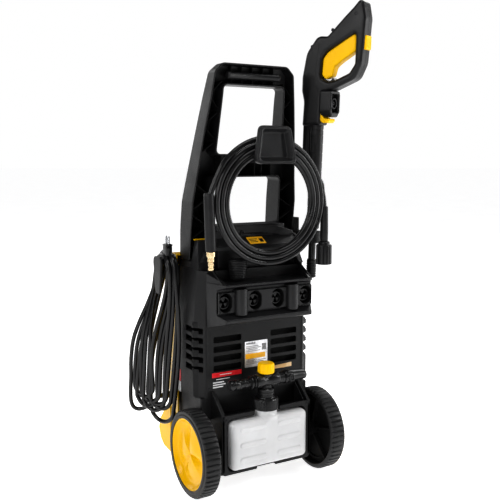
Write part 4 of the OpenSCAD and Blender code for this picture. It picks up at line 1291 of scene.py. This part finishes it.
def make_hooks():
    # dished plate: how far the outline is drawn in, and the share of the way from its back to its front
    levels = [(1.2, 0.0), (0.2, 0.10), (0, 0.3), (0, 0.74), (0.4, 0.88), (1.3, 0.97), (2.4, 1.0),
        (4.6, 1.0), (5.8, 0.96), (6.8, 0.86), (12.0, 0.16), (13.2, 0.08), (15.0, 0.06)]
    verts, n = [], 0
    for inset, share in levels:
        base = offset(facing([(-63, 680), (31, 680), (24, 754), (-46, 754)]), inset)
        loop = rounded(base, max(3.0, 11 - inset * 0.6), 6)
        n = len(loop)
        for x, z in loop:
            low = (754 - z) / 74
            back, front = -76 - 9 * low, -87.5 - 13.5 * low
            verts.append((x, back + (front - back) * share, z))
    m = len(levels)
    faces = bands(m, n) + [list(range(n))[::-1], [(m - 1) * n + k for k in range(n)]]
    arm = [brick((-28, -84, 688.4), (28, 44, 692)), brick((-28, -84, 682), (-24.8, 44, 690)),
        brick((24.8, -84, 682), (28, 44, 690)), brick((-1.4, -80, 683), (1.4, 40, 690), 0.4)]
    piece("hose_hook_plate", (verts, faces), "trim", "hose_hook", sharp=40)
    piece("hose_hook_arm", joined(*arm), "trim", slot="trim_plastic")
    blade = board([(113, 404), (137, 404), (146, 470), (144, 484), (106, 484), (104, 470)],
        [9, 9, 12, 9, 9, 12], 5, "x", -176, -170, 2.4, 4)
    arm = plate([[(-171, 110), (-171, 140), (-137, 140), (-131.6, 140), (-136, 117), (-136, 110)]], "z",
        468, 474, 1.0, 2)
    piece("cord_hook_blade", joined(blade, arm), "casing", "cord_hook")
    profile = [(0, -16), (7.7, -16), (7.7, -9), (11, -8.6), (11, -5), (7.7, -4.6), (7.7, 0)]
    for k in range(6):
        r, d = 7.6 - k * 0.42, 0.6 + k * 4.2
        profile += [(r, d), (r, d + 2.4), (r - 1.3, d + 2.9), (r - 1.3, d + 3.9)]
    profile += [(4.9, 25.6), (0, 26)]
    build("cord_gland_ribbed", *lathe(profile, (-126, 178, 160), TO_MINUS_X, 48), "cord", "cord_gland",
        sharp=30)


# ---- trigger gun -----------------------------------------------------------------------------------------

GUN_TURN = spin("X", 2.9) @ spin("Z", -65)


GUN_AT = (160, 20, 767)      # where the top of the lance tube, the gun's own origin, hangs


def on_gun(part):
    return moved(part, GUN_TURN, GUN_AT)


def mirror_y(part):
    return [(x, -y, z) for x, y, z in part[0]], [f[::-1] for f in part[1]]


def make_gun():
    outline = rounded([(-28, -8), (-26, 45), (-32, 68), (-32, 97), (-23, 148), (3, 182), (26, 180),
        (64, 217), (85, 236), (98, 250), (107, 246), (114, 214), (113, 199), (111, 158), (109, 123),
        (95, 92), (44, 70), (17, 65), (17, -4)], [5, 40, 20, 34, 40, 18, 9, 40, 60, 14, 12, 34, 60, 60, 34,
        24, 14, 4, 4], 7)
    window = rounded([(91, 184), (93, 176), (93, 122), (81, 104), (47, 89.5), (32, 87), (17, 92.5),
        (12.6, 104), (16, 138), (26, 150)], [4, 6, 14, 14, 14, 8, 8, 8, 12, 8], 5)
    half = plate([outline, window], "y", 0.12, 19, 0.4, 7, 7.0)
    piece("gun_body_right", on_gun(half), "gun", "gun_shell_right", body="gun", sharp=40)
    piece("gun_body_left", on_gun(mirror_y(half)), "gun", "gun_shell_left", body="gun", sharp=40)
    # fore-end strip, collar at the top of the tube, raised side panels and screws
    strip = board([(-28, -93), (-28, 6), (-11, 6), (-11, -100), (-17, -100)], [3, 2, 1, 1, 3], 3, "y",
        -12.5, 12.5, 3.5, 4)
    panel_loop = rounded([(-21, 8), (-20, 46), (-26, 70), (-26, 94), (-18, 142), (2, 170), (8, 160),
        (2, 104), (6, 84), (10, 60), (10, 8)], 5, 4)
    panels = [plate([panel_loop], "y", 18.4, 19.5, 0.6, 2)]
    screw = [(0, 0), (3.6, 0), (3.6, 0.6), (2.8, 1.0), (1.5, 1.0), (1.4, 0.3), (0, 0.3)]
    screws = [lathe(screw, (x, 18.6, z), TO_Y, 24) for x, z in ((40, 192), (92, 222), (102, 130),
        (-8, 160))]
    # web that closes the window below the trigger's end
    panels.append(board([(12, 80), (46, 82), (45, 90), (39.5, 95.5), (34, 90), (22, 88), (13, 92)], 1.5, 3,
        "y", 0.2, 9, 1.0, 2))
    sides = joined(*panels)
    piece("gun_side_panels", on_gun(joined(strip, sides, mirror_y(sides))), "gun", slot="gun_plastic",
        body="gun")
    screws = joined(*screws)
    piece("gun_screws", on_gun(joined(screws, mirror_y(screws))), "black_steel", slot="gun_plastic",
        body="gun", sharp=30)
    trigger = board([(21, 92), (12.4, 102), (14.2, 136), (24, 148), (84, 185), (91.5, 180), (91.5, 149),
        (56, 127), (43, 117), (38, 98)], [7, 7, 12, 12, 4, 4, 7, 14, 12, 8], 6, "y", -11, 11, 4.6, 6)
    piece("trigger_blade", on_gun(trigger), "amber", "gun_trigger", body="trigger", sharp=45)
    lock = plate([rect(-12, 150.6, 12, 179.4, 3.0, 4)], "x", 105.5, 115.4, 0.4, 4, 2.2)
    grooves = [plate([rect(-8, 158 + 5 * k, 8, 160 + 5 * k, 0.9, 3)], "x", 114.8, 116.0, 0.4, 2) for k in
        range(3)]
    piece("lock_slider", on_gun(joined(lock, *grooves)), "amber", "gun_lock", body="trigger_lock")
    front = rounded([(-20, 68.8), (-20, 27), (-13, 13), (13, 13), (20, 27), (20, 68.8)],
        [5, 14, 9, 9, 14, 5], 6)
    hole = rounded([(-15.5, 24), (15.5, 24), (15.5, 61.5), (-15.5, 61.5)], 3, 4)
    block = plate([front], "x", 17, 31, 1.0, 3)
    face = plate([front, hole], "x", 30, 43.6, 0.5, 4, 3.4)
    well = plate([offset(facing(hole), -1.0)], "x", 30.6, 31.6, 0.3, 1)
    at = (31.2, 0, 42)
    ring = lathe([(8.4, 0), (12.0, 0), (12.0, 8.8), (11.2, 9.8), (9.2, 9.8), (8.4, 9.1)], at, TO_X, 48,
        closed=True)
    core = lathe([(0, 0), (4.6, 0), (4.6, 6.8), (3.8, 7.6), (2.0, 7.6), (1.8, 3), (0, 3)], at, TO_X, 36)
    lug = board([(6.6, -1.8), (9.0, -2.4), (9.0, 2.4), (6.6, 1.8)], 0.4, 2, "z", 1, 8, 0.3, 1)
    lugs = [moved(lug, TO_X @ spin("Z", a), at) for a in (90, 210, 330)]
    piece("port_block", on_gun(joined(block, face)), "trim", "gun_port", body="gun", sharp=40)
    # the port's well takes the darker inner black: painted shade in the recess
    piece("port_well", on_gun(well), "inner", slot="trim_plastic", body="gun")
    piece("port_ring", on_gun(joined(ring, *lugs, core)), "black_steel", slot="trim_plastic", body="gun",
        sharp=35)
    # crescent button that wraps the underside of the port
    release = board([(13, 28), (13, 8), (20, 0.6), (32, 0.6), (37, 5), (36, 10.4), (29, 10), (22, 13),
        (20, 28)], [2, 7, 7, 5, 3, 2, 6, 5, 2], 5, "y", -15, 15, 3.0, 5)
    piece("release_band", on_gun(release), "amber", "gun_release", body="release_button", sharp=45)
    # tube: a tapered sleeve with fine rings, the lance tail below it and its ribbed end
    prof = [(0, -342), (8.6, -342), (10.2, -341)]
    for k in range(7):
        z = -340.4 + k * 5.6
        prof += [(11, z), (11, z + 3.4), (9.7, z + 4.0), (9.7, z + 5.0)]
    prof += [(10.6, -301), (9.4, -300), (8, -299.4), (8, -231.5), (12.4, -231), (13.5, -230)]
    z = -222
    while z < -22:
        r = 13.6 + 1.4 * (z + 230) / 230
        prof += [(r, z), (r - 0.55, z + 0.6), (r - 0.55, z + 1.6), (r, z + 2.2)]
        z += 19.5
    prof += [(14.7, -16), (14.1, -15.2), (14.1, -13.6), (14.9, -12.8), (15, -1), (14, 0), (0, 0)]
    build("lance_tube", *on_gun(lathe(prof, (0, 0, 0), None, 72)), "gun", "gun_barrel", slot="trim_plastic",
        body="gun", sharp=30)


# ---- hood trim -------------------------------------------------------------------------------------------

def make_hood_trim():
    xs = [-101 + 202 * k / 28 for k in range(29)]
    top = [(x, 551.6 - 17 * (abs(x) / 101) ** 2.4) for x in xs]
    low = [(x, z - 17 - 2.5 * (abs(x) / 101) ** 2) for x, z in top]
    lip = plate([top + low[::-1]], "y", 21.5, 27.5, 1.6, 3)
    bosses = []
    for x, z in ((-26, 537.5), (89, 522)):
        bosses.append(lathe([(2.4, -2.4), (4.2, -2.4), (4.9, -1.6), (4.9, 2), (2.4, 2)], (x, 21.5, z), TO_Y,
            32, closed=True))
        bosses.append(lathe([(0, 0.4), (2.6, 0.4), (2.6, 2), (0, 2)], (x, 21.5, z), TO_Y, 24))
    end = board([(-4, 505.5), (22, 505.5), (22, 531), (-4, 514)], 1.5, 2, "x", 100.5, 105.8, 1.0, 2)
    # dark gussets that tie the hood's sides down to the shelf
    gusset = board([(-44, 441.2), (7.6, 441.2), (34, 463), (34, 500), (6, 470)], 1.2, 2, "x", 104.5, 107.2,
        0.6, 2)
    piece("hood_lip", joined(lip, both(end)), "trim", slot="trim_plastic")
    piece("hood_bosses", joined(*bosses), "casing", slot="trim_plastic", sharp=30)
    piece("shelf_gussets", both(gusset), "casing", slot="casing_plastic")
    shoulder = board([(-128.6, 463), (-128.6, 465.4), (-113, 498), (-99, 504), (-99, 463)],
        [0.5, 1.5, 4, 2, 0.5], 3, "y", 27.5, 114, 1.2, 2)
    piece("hood_shoulders", both(shoulder), "casing", slot="trim_plastic")
    # amber inserts seen at the feet of the handle
    foot = brick((93, 61.5, 521.5), (118, 66, 524.2), 0.6)
    piece("foot_inserts", both(foot), "amber", slot="amber_plastic")


# ---- CAD nodes that keep their shape: rounded edges and a finish -----------------------------------------

def dress(obj, mat, bevel, flat):
    """Rounded edges and a finish for a node from the CAD; flat ones also lose their needless edges."""
    weld = obj.modifiers.new("weld", "WELD")
    weld.merge_threshold = 2e-5
    if flat:
        dissolve = obj.modifiers.new("flat", "DECIMATE")
        dissolve.decimate_type, dissolve.angle_limit = "DISSOLVE", radians(0.6)
    add_bevel(obj, bevel, 2, 30)
    obj.data.materials.clear()
    obj.data.materials.append(MAT[mat])
    obj.data.polygons.foreach_set("use_smooth", [True] * len(obj.data.polygons))


BEVELS = {"hood": 2.2, "front_shell": 2.0, "gun_holder": 1.2, "front_panel": 0.5, "switch_knob": 1.2,
    "front_feet": 1.0, "axle": 0.8}
HOLED = {"front_panel", "front_shell", "hood", "gun_holder", "switch_housing"}     # kept as triangulated

make_camera()
make_studio()
make_cords()
make_wheels()
make_base()
make_casing()
make_labels()
make_rack()
make_foam_set()
make_handle()
make_hooks()
make_gun()
make_hood_trim()
for node, obj in NODES.items():
    if not obj.hide_render:
        dress(obj, SLOT_MATERIAL[SLOTS[node]], BEVELS.get(node, 0.6), node not in HOLED)
